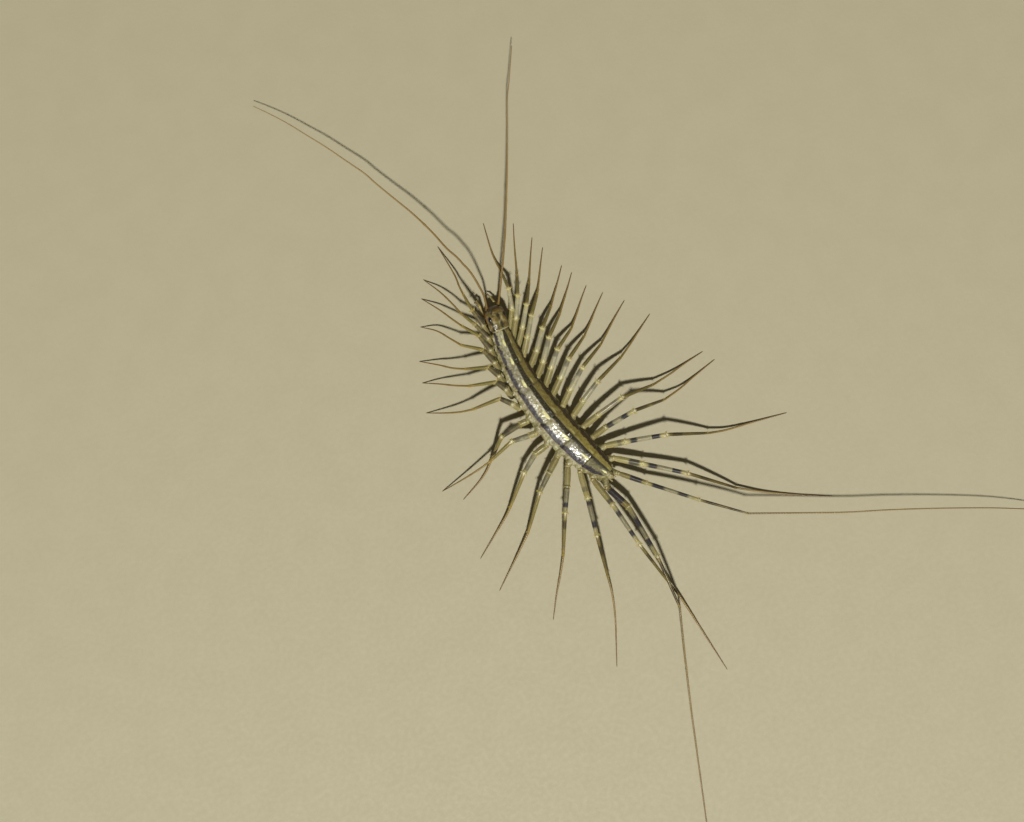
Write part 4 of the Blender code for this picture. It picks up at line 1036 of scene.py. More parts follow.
def make_trunk(coat, mat):
    n = 84
    st = np.linspace(31.0, 215.5, 330)
    sec = np.array([trunk_ring(float(s), n) for s in st])                  # rows, n, 2
    end = smooth(31.0, 34.0, st) * (1 - smooth(211.5, 215.5, st))
    k = 0.35 + 0.65 * np.sqrt(np.clip(end, 0, 1))
    mid = sec.mean(1, keepdims=True)
    sec = mid + (sec - mid) * k[:, None, None]
    lat, h = sec[..., 0], sec[..., 1]
    S = np.repeat(st[:, None], n, 1)
    hw = half_width(S)
    nrm = np.stack([lat, (h + 0.45)], -1)
    nrm = nrm / np.maximum(1e-6, np.linalg.norm(nrm, axis=-1, keepdims=True))
    # hips: a swelling at each pair, a crease between them
    pairs = np.array(PAIR_AT)
    idx = np.clip(np.searchsorted(pairs, st), 1, len(pairs) - 1)
    lo, hi = pairs[idx - 1], pairs[idx]
    ph = np.clip((st - lo) / (hi - lo), -0.5, 1.5)
    hip = 0.5 + 0.5 * np.cos(2 * np.pi * ph)
    flank = band(h, -1.30, -0.34, 0.16) * smooth(0.45, 0.75, np.abs(lat) / hw)
    belly = (1 - smooth(-1.35, -1.1, h)) * (1 - smooth(0.35, 0.6, np.abs(lat) / hw))
    swell = flank * (0.02 + 0.10 * hip[:, None])
    crease = np.exp(-((ph - 0.5) / 0.055) ** 2)[:, None] * (0.4 + 0.6 * smooth(-0.55, -1.0, h))
    swell = swell - flank * 0.07 * crease
    fold = 0.020 * np.sin(h * 21.0 + 2.0 * np.sin(S * 0.5)) * flank
    swell = swell + fold
    swell = swell + belly * (0.035 - 0.09 * crease) + belly * 0.02 * np.exp(-(lat / 0.25) ** 2)
    P0 = at_body(S, lat, h)
    grain = lumps(P0, 3.0, 5.0) * 0.034 + lumps(P0, 8.0, 9.0) * 0.016
    swell = swell + grain * np.maximum(flank, 0.3 * belly)
    lat2, h2 = lat + nrm[..., 0] * swell, h + nrm[..., 1] * swell
    P = at_body(S, lat2, h2)
    shape = Shape()
    m = len(st)
    verts = np.vstack([P.reshape(-1, 3), P[0].mean(0)[None], P[-1].mean(0)[None]])
    kk = np.arange(n)
    k2 = (kk + 1) % n
    quads = ring_faces(m, n)
    tris = np.vstack([np.stack([np.full(n, m * n), k2, kk], -1),
                      np.stack([np.full(n, m * n + 1), (m - 1) * n + kk, (m - 1) * n + k2], -1)])
    q0 = quads[(m // 2) * n + n // 4]
    c = P[m // 2].mean(0)
    nn = np.cross(verts[q0[1]] - verts[q0[0]], verts[q0[2]] - verts[q0[0]])
    if nn @ (verts[q0[0]] - c) < 0:
        quads, tris = quads[:, ::-1], tris[:, ::-1]
    pad = lambda a: np.r_[a.ravel(), 0.0, 0.0]
    shape.add(verts, quads, tris, flank=pad(flank), belly=pad(belly), crease=pad(crease),
              hipc=pad(np.repeat(hip[:, None], n, 1)), st=pad(S), th=pad(h))
    # short hairs over the flanks
    rng = np.random.default_rng(7)
    ok = np.argwhere(flank > 0.4)
    pick = ok[rng.choice(len(ok), 1500)]
    i, j = pick[:, 0], pick[:, 1]
    r, u, bk = body_axes(st[i])
    out = r * nrm[i, j, 0][:, None] + u * nrm[i, j, 1][:, None]
    way = out * 0.7 + bk * 0.6 + rng.normal(0, 0.15, (len(i), 3))
    uv = np.stack([0.02 + 0.96 * st[i] / 230.0, np.where(lat[i, j] < 0, 0.02, 0.98)
                   + np.where(lat[i, j] < 0, 1, -1) * 0.02 * (h[i, j] + 1.4)], -1)
    coat.add(P[i, j] - out * 0.01, way, rng.uniform(0.06, 0.13, len(i)), 0.0085, uv=uv, tone=0.15)
    return piece("trunk_skin", shape, mat, "trunk", "trunk")


def make_tail(mat, coat):
    """Last plate's end piece, with the two small styles under it."""
    shape = Shape()
    for side in (-1.0, 0.0, 1.0):
        if side == 0.0:
            sts, wid, hi = (212.5, 214.5, 216.5, 218.5, 220.3), (0.42, 0.46, 0.42, 0.32, 0.16), (0.26, 0.28, 0.26, 0.21, 0.11)
            path = [body_point(s, 0.0, h) for s, h in zip(sts, (0.02, 0.00, -0.04, -0.10, -0.16))]
        else:
            sts, wid, hi = (213.5, 216.0, 218.5, 220.6, 222.0), (0.12, 0.15, 0.13, 0.10, 0.04), (0.12, 0.15, 0.13, 0.10, 0.04)
            path = [body_point(s, side * (0.26 + 0.012 * (s - 213)), h) for s, h in zip(sts, (-0.34, -0.36, -0.36, -0.34, -0.30))]
        pth = catmull(path, 6)
        q = np.linspace(0, 1, len(pth))
        W = np.interp(q, np.linspace(0, 1, 5), wid)
        H = np.interp(q, np.linspace(0, 1, 5), hi)
        n = 28
        relief = 1.0 + 0.06 * np.cos(5 * 2 * math.pi * np.arange(n) / n)[None, :] * np.ones(len(q))[:, None]
        sweep(shape, pth, np.r_[0.3 * W[0], W[1:-1], 0.3 * W[-1]], n, relief, tall=float(H[2] / W[2]), run=q,
              flank=0.8, belly=0.0, crease=0.0, hipc=0.5, st=214.0, th=0.0)
    return piece("tail_end", shape, mat, "trunk", "telson")

# ====================================================================== head
def to_body(p):
    """Station, side and height of a point near the head."""
    best = None
    for s in np.arange(-6.0, 60.0, 0.25):
        o, right, up, back, hw, arch = body_frame(float(s))
        d = p - o
        al = abs(float(d @ back))
        if best is None or al < best[0]:
            best = (al, float(s), float(d @ right), float(d @ up))
    return best[1:]


HEAD_TURN = 0.13


def make_head(coat, mat):
    n, m = 128, 118
    s_lo, s_hi = 5.2, 30.8
    q = np.linspace(0, 1, m)
    st = s_lo + (s_hi - s_lo) * (0.5 - 0.5 * np.cos(np.pi * q)) * 0.55 + (s_hi - s_lo) * q * 0.45
    S = np.repeat(st[:, None], n, 1)
    th = 2 * np.pi * np.arange(n) / n
    TH = np.repeat(th[None, :], m, 0)
    hw, arch = half_width(np.maximum(S, 10.5)), arch_of(np.maximum(S, 9.5))
    nose = np.clip((S - s_lo) / 7.0, 0, 1)
    shrink = np.clip(1 - (1 - nose) ** 2.5, 0, 1) ** 0.46
    tail = np.clip((s_hi - S) / 2.6, 0, 1)
    shrink = shrink * (0.80 + 0.20 * np.sqrt(np.clip(1 - (1 - tail) ** 2, 0, 1)))
    shrink = np.where(S > s_hi - 0.02, 0.72, shrink)
    wide = hw * (1.0 + 0.04 * np.exp(-((S - 20.0) / 6.0) ** 2)) * shrink
    eye_dip = 0.34 * np.exp(-(((S - EYE_AT + 1.2) / 3.9) ** 4))
    x, z = np.cos(TH), np.sin(TH)
    xs = np.sign(x) * np.abs(x) ** 0.86
    up_h = arch * (1.06 + 0.08 * np.exp(-((S - 17) / 6.0) ** 2)) * shrink ** 0.8
    low_h = 0.80 * (0.70 + 0.30 * smooth(5.0, 10.0, S)) * shrink ** 0.7
    h = np.where(z > 0, z * up_h, z * low_h)
    lat = wide * xs
    near_eye = np.exp(-((h - 0.10) / 0.42) ** 4) * np.abs(xs) ** 2
    lat = lat - np.sign(lat) * eye_dip * near_eye * smooth(0.35, 0.8, np.abs(xs))
    # relief on the upper side
    top = smooth(0.02, 0.30, z)
    rel = np.zeros_like(S)
    rel -= 0.040 * np.exp(-(lat / 0.030) ** 2) * band(S, 12.5, 27.5, 1.5)                  # middle suture
    rel -= 0.030 * np.exp(-((S - 27.6 - 0.9 * (lat / 1.3) ** 2) / 0.55) ** 2)               # groove before the rear rim
    rel += 0.018 * np.exp(-((S - 29.6) / 0.6) ** 2)
    for sd in (-1.0, 1.0):
        rel += 0.070 * np.exp(-((lat - sd * 0.50) / 0.30) ** 2 - ((S - 14.5) / 3.4) ** 2)     # swellings before the eyes
        rel += 0.075 * np.exp(-((lat - sd * 0.66) / 0.24) ** 2 - ((S - 23.0) / 3.2) ** 2)
        line = np.abs(lat) - (0.20 + 0.060 * (S - 11.0))
        rel -= 0.040 * np.exp(-(line / 0.040) ** 2) * band(S, 11.0, 21.0, 1.5)               # branches of the suture
        d = np.hypot(lat - sd * 0.80, (S - 7.6) * GRID)
        rel += 0.10 * np.exp(-((d - 0.26) / 0.055) ** 2) - 0.10 * np.exp(-(d / 0.18) ** 4)   # antenna sockets
        rel += 0.05 * np.exp(-((lat - sd * 0.34) / 0.20) ** 2 - ((S - 9.0) / 1.5) ** 2)
    rel += 0.05 * np.exp(-(lat / 0.16) ** 2 - ((S - 7.6) / 1.6) ** 2)                     # brow between the antennae
    rel -= 0.06 * np.exp(-((S - 11.2 - 1.4 * np.exp(-(lat / 0.5) ** 2)) / 0.42) ** 2) * (1 - smooth(0.9, 1.3, np.abs(lat)))
    h = h + rel * top
    P = at_body(S - HEAD_TURN * lat / GRID, lat, h)
    g = lumps(P, 3.2, 17.0) * 0.020 + lumps(P, 9.0, 4.0) * 0.010
    r, u, bk = body_axes(S)
    P = P + u * (g * top)[..., None]
    # colour fields, sides as seen on the animal's own left (-) and right (+)
    px = lat / GRID
    dark = np.zeros_like(S)

    def mark(cx, cs, rx, rs, lean=0.0, power=1.0, soft=0.55):
        nonlocal dark
        d = np.hypot((px - cx - lean * (S - cs)) / rx, (S - cs) / rs)
        dark = np.maximum(dark, np.clip(0.5 + (1 - d) / (2 * soft), 0, 1) * power)

    mark(-0.8, 15.8, 1.8, 2.5)
    mark(-0.2, 19.0, 0.9, 2.0, 0.0, 0.7)
    mark(0.6, 25.2, 1.8, 3.6)
    mark(0.7, 27.8, 0.9, 1.6, 0.0, 0.75)
    for sd in (-1.0, 1.0):
        mark(sd * 5.6, 10.5, 0.85, 3.2, 0.45 * sd, 1.0 if sd < 0 else 0.55)
        mark(sd * 4.4, 8.4, 1.3, 1.4, 0.0, 0.8)
        mark(sd * 8.3, 27.0, 1.1, 3.4, 0.0, 0.9)
        mark(sd * 8.6, 22.0, 1.1, 2.6, 0.0, 0.95)
        mark(sd * 6.4, 14.6, 1.0, 1.6, 0.2 * sd, 0.6)
    # darker towards the front: partly the front's own dark brown, partly painted shade where the front slopes away from
    # the light
    front = 1 - smooth(7.5, 12.0, S)
    warm = np.exp(-((S - 9.5) / 3.0) ** 2) * smooth(-6.0, 1.0, px) + 0.8 * smooth(8.0, 10.5, np.abs(px)) * np.exp(-((S - 12) / 4.5) ** 2)
    warm = warm + 0.9 * np.exp(-((px + 6.0) / 1.8) ** 2 - ((S - 18.0) / 2.6) ** 2) + 0.8 * np.exp(-((px - 5.0) / 1.9) ** 2 - ((S - 22.0) / 2.6) ** 2)
    pale = band(S, 29.8, 31.5, 0.3)
    shape = Shape()
    verts = np.vstack([P.reshape(-1, 3), P[0].mean(0)[None], P[-1].mean(0)[None]])
    kk = np.arange(n)
    k2 = (kk + 1) % n
    quads = ring_faces(m, n)
    tris = np.vstack([np.stack([np.full(n, m * n), k2, kk], -1),
                      np.stack([np.full(n, m * n + 1), (m - 1) * n + kk, (m - 1) * n + k2], -1)])
    q0 = quads[(m // 2) * n + n // 4]
    c = P[m // 2].mean(0)
    nn = np.cross(verts[q0[1]] - verts[q0[0]], verts[q0[2]] - verts[q0[0]])
    if nn @ (verts[q0[0]] - c) < 0:
        quads, tris = quads[:, ::-1], tris[:, ::-1]
    pad = lambda a: np.r_[a.ravel(), 0.0, 0.0]
    shape.add(verts, quads, tris, dark=pad(dark * smooth(-0.05, 0.2, z)), front=pad(front), warm=pad(warm),
              pale=pad(pale), under=pad(1 - smooth(-0.5, 0.1, z)), hx=pad(px), hs=pad(S))
    # upper lip under the front edge, one half on each side
    for sd in (-1.0, 1.0):
        pts = catmull([body_point(6.8, sd * 0.10, -0.42), body_point(6.4, sd * 0.34, -0.52),
                       body_point(7.4, sd * 0.62, -0.66), body_point(9.4, sd * 0.84, -0.78)], 5)
        w = np.linspace(0, 1, len(pts))
        # the lip halves take the same darkening of the front, partly painted shade
        sweep(shape, pts, 0.17 * np.sqrt(np.clip(1 - (2 * w - 1) ** 4, 0.05, 1)), 14, dark=0.0, front=0.9, warm=0.8,
              pale=0.0, under=0.3, hx=4.0, hs=7.0)
    rng = np.random.default_rng(3)
    N = 620
    i = rng.integers(12, m - 4, N)
    j = rng.integers(2, n // 2 - 2, N)
    d_eye = np.hypot((S[i, j] - EYE_AT + 1.2) * GRID, h[i, j] - 0.1)
    ok = (d_eye > 0.5) | (np.abs(px[i, j]) < 7)
    i, j = i[ok], j[ok]
    out = unit(u[i, j] * (0.4 + z[i, j])[:, None] + r[i, j] * (xs[i, j] * 0.8)[:, None])
    way = out * 0.8 + bk[i, j] * 0.25 + rng.normal(0, 0.2, (len(i), 3))
    uv = np.stack([0.02 + 0.96 * (S[i, j] + 1) / 230.0, 0.5 + 0.45 * lat[i, j] / 1.6], -1)
    coat.add(P[i, j] - out * 0.01, way, rng.uniform(0.06, 0.12, len(i)), 0.0085, uv=uv, tone=0.3)
    return piece("head_shell", shape, mat, "head", "head")


def make_eye(side, name, mat):
    """Compound eye: an egg set in the head's side with a bead for each lens."""
    o, right, up, back, hw, arch = body_frame(EYE_AT - 1.2 - HEAD_TURN * side * 8.5)
    c = o + right * (side * (hw - (0.62 if side > 0 else 0.36))) + up * (0.52 if side > 0 else 0.34)
    n, m = 120, 80
    v = np.linspace(0.0, np.pi, m)[1:-1]
    th = 2 * np.pi * np.arange(n) / n
    V, TH = np.meshgrid(v, th, indexing="ij")
    N = 420
    i = np.arange(N) + 0.5
    phi = np.arccos(1 - 2 * i / N)
    gold = np.pi * (1 + 5 ** 0.5) * i
    F = np.stack([np.cos(gold) * np.sin(phi), np.sin(gold) * np.sin(phi), np.cos(phi)], -1)
    tree = KDTree(N)
    for k, f in enumerate(F):
        tree.insert(Vector(f), k)
    tree.balance()
    U = np.stack([np.cos(V), np.sin(V) * np.cos(TH), np.sin(V) * np.sin(TH)], -1)
    near = np.array([tree.find(Vector(p))[2] for p in U.reshape(-1, 3)]).reshape(V.shape)
    size = math.sqrt(4 * math.pi / N) * 0.56
    bead = np.sqrt(np.clip(1 - (near / size) ** 2 * 0.92, 0.02, 1.0))
    rad = np.array((EYE_R[0] * 1.02, EYE_R[1] * 1.27, EYE_R[2] * 1.16))
    k = 1.0 + 0.040 * (bead - 0.6)
    Q = U * k[..., None] * rad
    P = c + back * Q[..., 0:1] + right * Q[..., 1:2] + up * Q[..., 2:3]
    shape = Shape()
    rows = m - 2
    verts = np.vstack([P.reshape(-1, 3), (c + back * rad[0])[None], (c - back * rad[0])[None]])
    quads = ring_faces(rows, n)
    kk = np.arange(n)
    k2 = (kk + 1) % n
    tris = np.vstack([np.stack([np.full(n, rows * n), k2, kk], -1),
                      np.stack([np.full(n, rows * n + 1), (rows - 1) * n + kk, (rows - 1) * n + k2], -1)])
    q0 = quads[(rows // 2) * n + 3]
    nn = np.cross(verts[q0[1]] - verts[q0[0]], verts[q0[2]] - verts[q0[0]])
    if nn @ (verts[q0[0]] - c) < 0:
        quads, tris = quads[:, ::-1], tris[:, ::-1]
    shape.add(verts, quads, tris, bead=np.r_[bead.ravel(), 1.0, 1.0])
    return piece("eye_beads_" + name[-1], shape, mat, "eye", name)


def make_antenna(side, coat, mat):
    path = catmull([plan(*q) for q in ANTENNAE[side]], 12)
    _, L = along(path, 0.0)
    shape = Shape()
    # two stout articles at the base
    d = unit(path[6] - path[0])
    base = path[0] - d * 0.42
    w = np.linspace(0, 1, 12)
    for a, b, r in ((0.0, 0.30, 0.250), (0.28, 0.56, 0.225), (0.54, 0.84, 0.195)):
        p = base[None] + d[None] * (a + (b - a) * w)[:, None]
        sweep(shape, p, r * np.interp(w, (0, 0.08, 0.3, 0.8, 0.95, 1), (0.55, 0.82, 0.95, 1.05, 1.02, 0.6)), 18,
              run=0.0, dark=0.0, ink=0.0, along=a, ridge=0.0, pair=0.0, rise=0.0)
    node = 0.34 if side == "l" else 0.40
    jointed(shape, coat, path[4:], 0.147, 0.042, 0.165, 12, 0.02, 1.0, 1, -1.0 if side == "l" else 1.0, 0.0, L + 1.0,
            seg=9, swell=((node, 0.30, 0.30), (0.0, 0.5, 0.10)), hair=0.13, hairs=5, taper=0.75, seed=500)
    return piece("feeler_" + side, shape, mat, "feeler", "antenna_" + side)


def make_forcipule(side, name, mat, coat):
    pts = [body_point(29.0, side * 0.90, -1.20), body_point(23.0, side * 1.14, -1.22),
           body_point(16.0, side * 1.10, -1.20), body_point(10.6, side * 0.80, -1.16), body_point(7.2, side * 0.32, -1.10)]
    shape = Shape()
    parts = ((0, 1, 0.34, 0.36), (1, 2, 0.34, 0.27), (2, 3, 0.26, 0.20))
    w = np.linspace(0, 1, 18)
    for k, (a, b, ra, rb) in enumerate(parts):
        p = pts[a] + (pts[b] - pts[a]) * (w * 1.04 - 0.02)[:, None]
        prof = np.interp(w, (0, 0.06, 0.2, 0.8, 0.95, 1.0), (0.55, 0.85, 1.0, 0.98, 0.94, 0.6))
        sweep(shape, p, (ra + (rb - ra) * w) * prof, 24, run=0.2 + 0.2 * k + 0.2 * w, dark=0.0, ink=0.0, along=k + w,
              ridge=0.0, pair=0.5, rise=0.0)
    claw = catmull([pts[3] - unit(pts[4] - pts[3]) * 0.1, pts[3] * 0.55 + pts[4] * 0.45 - body_frame(9.0)[3] * 0.10,
                    pts[4]], 9)
    q = np.linspace(0, 1, len(claw))
    sweep(shape, claw, np.r_[0.12, 0.17 * (1 - q[1:]) ** 0.75 + 0.008], 16, run=0.8 + 0.2 * q, dark=q, ink=0.9,
          along=3.0 + q, ridge=0.0, pair=0.5, rise=0.0)
    return piece("fang_" + name[-1], shape, mat, "mouthpart", name)


PALPS = {
    "palp_l": ((483.4, 317.0, 2.25), (479.4, 305.6, 2.45), (476.4, 301.2, 1.90), (474.2, 303.2, 1.00)),
    "palp_r": ((497.4, 305.0, 1.60), (493.4, 300.9, 1.75), (490.0, 296.4, 1.35), (486.7, 293.5, 0.75)),
}


def make_palp(name, mat, coat):
    pts = [plan(*q) for q in PALPS[name]]
    shape = Shape()
    side = -1.0 if name[-1] == "l" else 1.0
    total = 6.0
    at = 0.0
    thick = (0.18, 0.15, 0.125) if name[-1] == "l" else (0.16, 0.13, 0.105)
    for k, (r, table) in enumerate(zip(thick, (PREFEMUR, FEMUR, TIBIA))):
        a, b = pts[k], pts[k + 1]
        L = float(np.linalg.norm(b - a))
        w = np.linspace(0, 1, 22)
        prof = np.interp(w, np.array(table)[:, 0], np.array(table)[:, 1])
        path = a + (b - a) * w[:, None]
        n = 24
        c = np.abs(np.cos(1.5 * 2 * math.pi * np.arange(n) / n)) ** 4
        relief = 1 + 0.07 * band(w, 0.15, 0.9, 0.08)[:, None] * (c - 0.4)[None, :]
        rad = r * prof
        if k == 2:
            rad = rad * np.sqrt(np.clip(1 - np.clip((w - 0.72) / 0.30, 0, 1) ** 2, 0.02, 1))
        sweep(shape, path, rad, n, relief, run=k / 3.0 + w / 3.0, dark=0.0, ink=0.0, along=at + L * w, ridge=0.0,
              pair=0.2, rise=0.0)
        t, s, u = frames(path)
        rng = np.random.default_rng(90 + k + (side > 0) * 7)
        N = 46
        place(coat, path, w, rad, None, n, rng.uniform(0.08, 0.95, N), rng.uniform(0, 2 * math.pi, N), t, s, u, rng,
              0.12, 0.010, 0.8, 1, side, 7, at, L, total)
        if k < 2:
            place(coat, path, w, rad, None, n, np.full(4, 0.95), np.arange(4) * 1.57 + 0.5, t, s, u, rng, 0.26, 0.022,
                  0.6, 1, side, 7, at, L, total, sides=6, steps=4, curve=-0.1)
            knuckle(shape, b, r * 0.80, unit(b - a), (k + 1) / 3.0, 3)
        at += L
    return piece("mouth_feeler_" + name[-1], shape, mat, "mouthpart", name)

# ====================================================================== finishes
def skin_depth(net, weight, scale, radius=(1.0, 0.55, 0.22)):
    p = net.p.inputs
    p["Subsurface Weight"].default_value = weight
    p["Subsurface Radius"].default_value = radius
    p["Subsurface Scale"].default_value = scale


# colours along a leg by run (coxa, prefemur, femur, tibia, tarsus); the yellow joints at 0.294 and 0.491 peak near
# white, a painted highlight on the joints' own yellow
LIMB_HUES = ((0.00, (0.42, 0.37, 0.20)), (0.06, (0.44, 0.385, 0.19)), (0.10, (0.42, 0.35, 0.14)),
             (0.13, (0.36, 0.31, 0.105)), (0.20, (0.37, 0.32, 0.12)), (0.275, (0.37, 0.32, 0.115)),
             (0.284, (0.58, 0.49, 0.13)), (0.294, (0.86, 0.81, 0.52)), (0.303, (0.76, 0.68, 0.32)), (0.314, (0.50, 0.44, 0.18)), (0.325, (0.55, 0.51, 0.30)),
             (0.40, (0.62, 0.58, 0.38)), (0.47, (0.57, 0.525, 0.30)), (0.482, (0.68, 0.57, 0.14)), (0.491, (0.93, 0.90, 0.66)),
             (0.500, (0.84, 0.75, 0.38)), (0.512, (0.46, 0.36, 0.11)), (0.53, (0.45, 0.38, 0.085)), (0.60, (0.49, 0.41, 0.095)),
             (0.67, (0.44, 0.31, 0.065)), (0.692, (0.44, 0.28, 0.055)), (0.71, (0.36, 0.245, 0.06)),
             (0.76, (0.33, 0.225, 0.062)), (0.86, (0.28, 0.180, 0.050)), (0.95, (0.22, 0.120, 0.030)),
             (1.0, (0.13, 0.065, 0.022)))


def limb_material(name, hues, ink_hue=(0.012, 0.013, 0.024), rings=0.45, weight=0.22, rough=0.33, hips=0.0):
    n = Net(name, rough)
    n.p.inputs["Coat Weight"].default_value = 0.25 if hips else 0.08
    n.p.inputs["Coat Roughness"].default_value = 0.18
    n.p.inputs["IOR"].default_value = 1.53
    skin_depth(n, weight, 0.0004)
    run, dark, ink = n.attr("run"), n.attr("dark"), n.attr("ink")
    al, ca, sa = n.attr("along"), n.attr("ca"), n.attr("sa")
    v = n.vec(n.math("MULTIPLY", al, 0.55), ca, sa)
    v2 = n.vec(n.math("MULTIPLY", al, 2.2), n.math("MULTIPLY", ca, 2.0), n.math("MULTIPLY", sa, 2.0))
    streak = n.noise(2.4, 3.0, 0.6, vec=v)
    blotch = n.noise(2.0, 4.0, 0.65, vec=v2)
    grain = n.noise(14000.0, 3.0, 0.6)
    base = n.ramp(run, *hues)
    deep = n.attr("deep")
    body = n.step(run, 0.66, 0.72, 1.0, 0.0)
    main = 1.0 if hips else 0.12
    # pale cream streaks along the limbs: partly the limbs' own streaking, partly painted sheen
    base = n.mix(n.math("MULTIPLY", n.step(streak, 0.42, 0.66, 0.0, 0.55 * main), body), base, (0.52, 0.48, 0.30))
    olive = n.mix(n.step(blotch, 0.40, 0.60), (0.135, 0.092, 0.013), (0.072, 0.056, 0.011))
    base = n.mix(n.math("MULTIPLY", deep, n.step(run, 0.68, 0.80, 1.0, 0.55)), base, olive)
    base = n.mix(n.step(blotch, 0.48, 0.70, 0.0, 0.55), base, (0.150, 0.112, 0.026), "MIX")
    base = n.mix(n.math("MULTIPLY", n.step(blotch, 0.42, 0.28), n.step(streak, 0.35, 0.60, 0.15 * main, 0.65 * main)), base, (0.60, 0.55, 0.26))
    # ridge tops painted lighter: a painted highlight along the ridges
    base = n.mix(n.step(n.attr("ridge"), 0.35, 1.0, 0.0, 0.22 * main), base, (0.50, 0.44, 0.20))
    edge = n.math("ADD", dark, n.math("MULTIPLY_ADD", streak, 0.90, -0.45))
    edge = n.math("ADD", edge, n.math("MULTIPLY_ADD", blotch, 0.40, -0.20))
    dk = n.math("MULTIPLY", n.step(edge, 0.22, 0.86), ink, clamp=True)
    dk = n.math("MULTIPLY", dk, n.step(dark, 0.02, 0.20))
    tint = n.mix(n.step(blotch, 0.35, 0.75), ink_hue, (0.045, 0.040, 0.052))
    tint = n.mix(n.step(run, 0.495, 0.525, 0.0, 0.9), tint, (0.042, 0.028, 0.010))
    col = n.mix(dk, base, tint)
    col = n.mix(n.math("MULTIPLY", n.attr("ann"), rings), col, (0.12, 0.065, 0.03))
    # hips share the flank's grainy skin
    hip = n.step(run, 0.080, 0.102, hips, 0.0)
    patch, cell = n.noise(1700.0, 4.0, 0.66), n.cells(5200.0)
    skin = n.ramp(patch, (0.40, (0.110, 0.095, 0.026)), (0.49, (0.26, 0.235, 0.080)), (0.58, (0.42, 0.39, 0.200)),
                  (0.68, (0.62, 0.60, 0.42)))
    skin = n.mix(n.step(cell, 0.28, 0.55, 0.0, 0.35), skin, (0.24, 0.19, 0.075))
    skin = n.mix(n.math("MULTIPLY", deep, 0.9), skin, (0.078, 0.060, 0.014))
    col = n.mix(n.math("MULTIPLY", hip, 0.9), col, skin)
    # spines darken to their tips, the stout yellow spurs hardly at all
    spur = n.attr("spur")
    col = n.mix(spur, col, (0.70, 0.53, 0.100))
    col = n.mix(n.math("MULTIPLY", n.step(n.attr("rise"), 0.0, 1.0, 0.0, 0.75), n.step(spur, 0.0, 1.0, 1.0, 0.45)), col,
                (0.10, 0.060, 0.030))
    rgh = n.math("MULTIPLY_ADD", hip, 0.14, n.step(grain, 0.2, 0.8, rough - 0.08, rough + 0.16))
    h = n.math("ADD", n.math("MULTIPLY", grain, 0.5), n.math("MULTIPLY", n.noise(5200.0, 3.0, 0.6), 0.8))
    h = n.math("ADD", h, n.math("MULTIPLY", n.math("MULTIPLY_ADD", cell, -0.8, n.math("MULTIPLY", patch, 0.9)),
                                n.math("MULTIPLY", hip, 2.4)))
    nrm = n.bump(h, 0.000018, 0.8)
    return n.done(col, rgh, nrm)


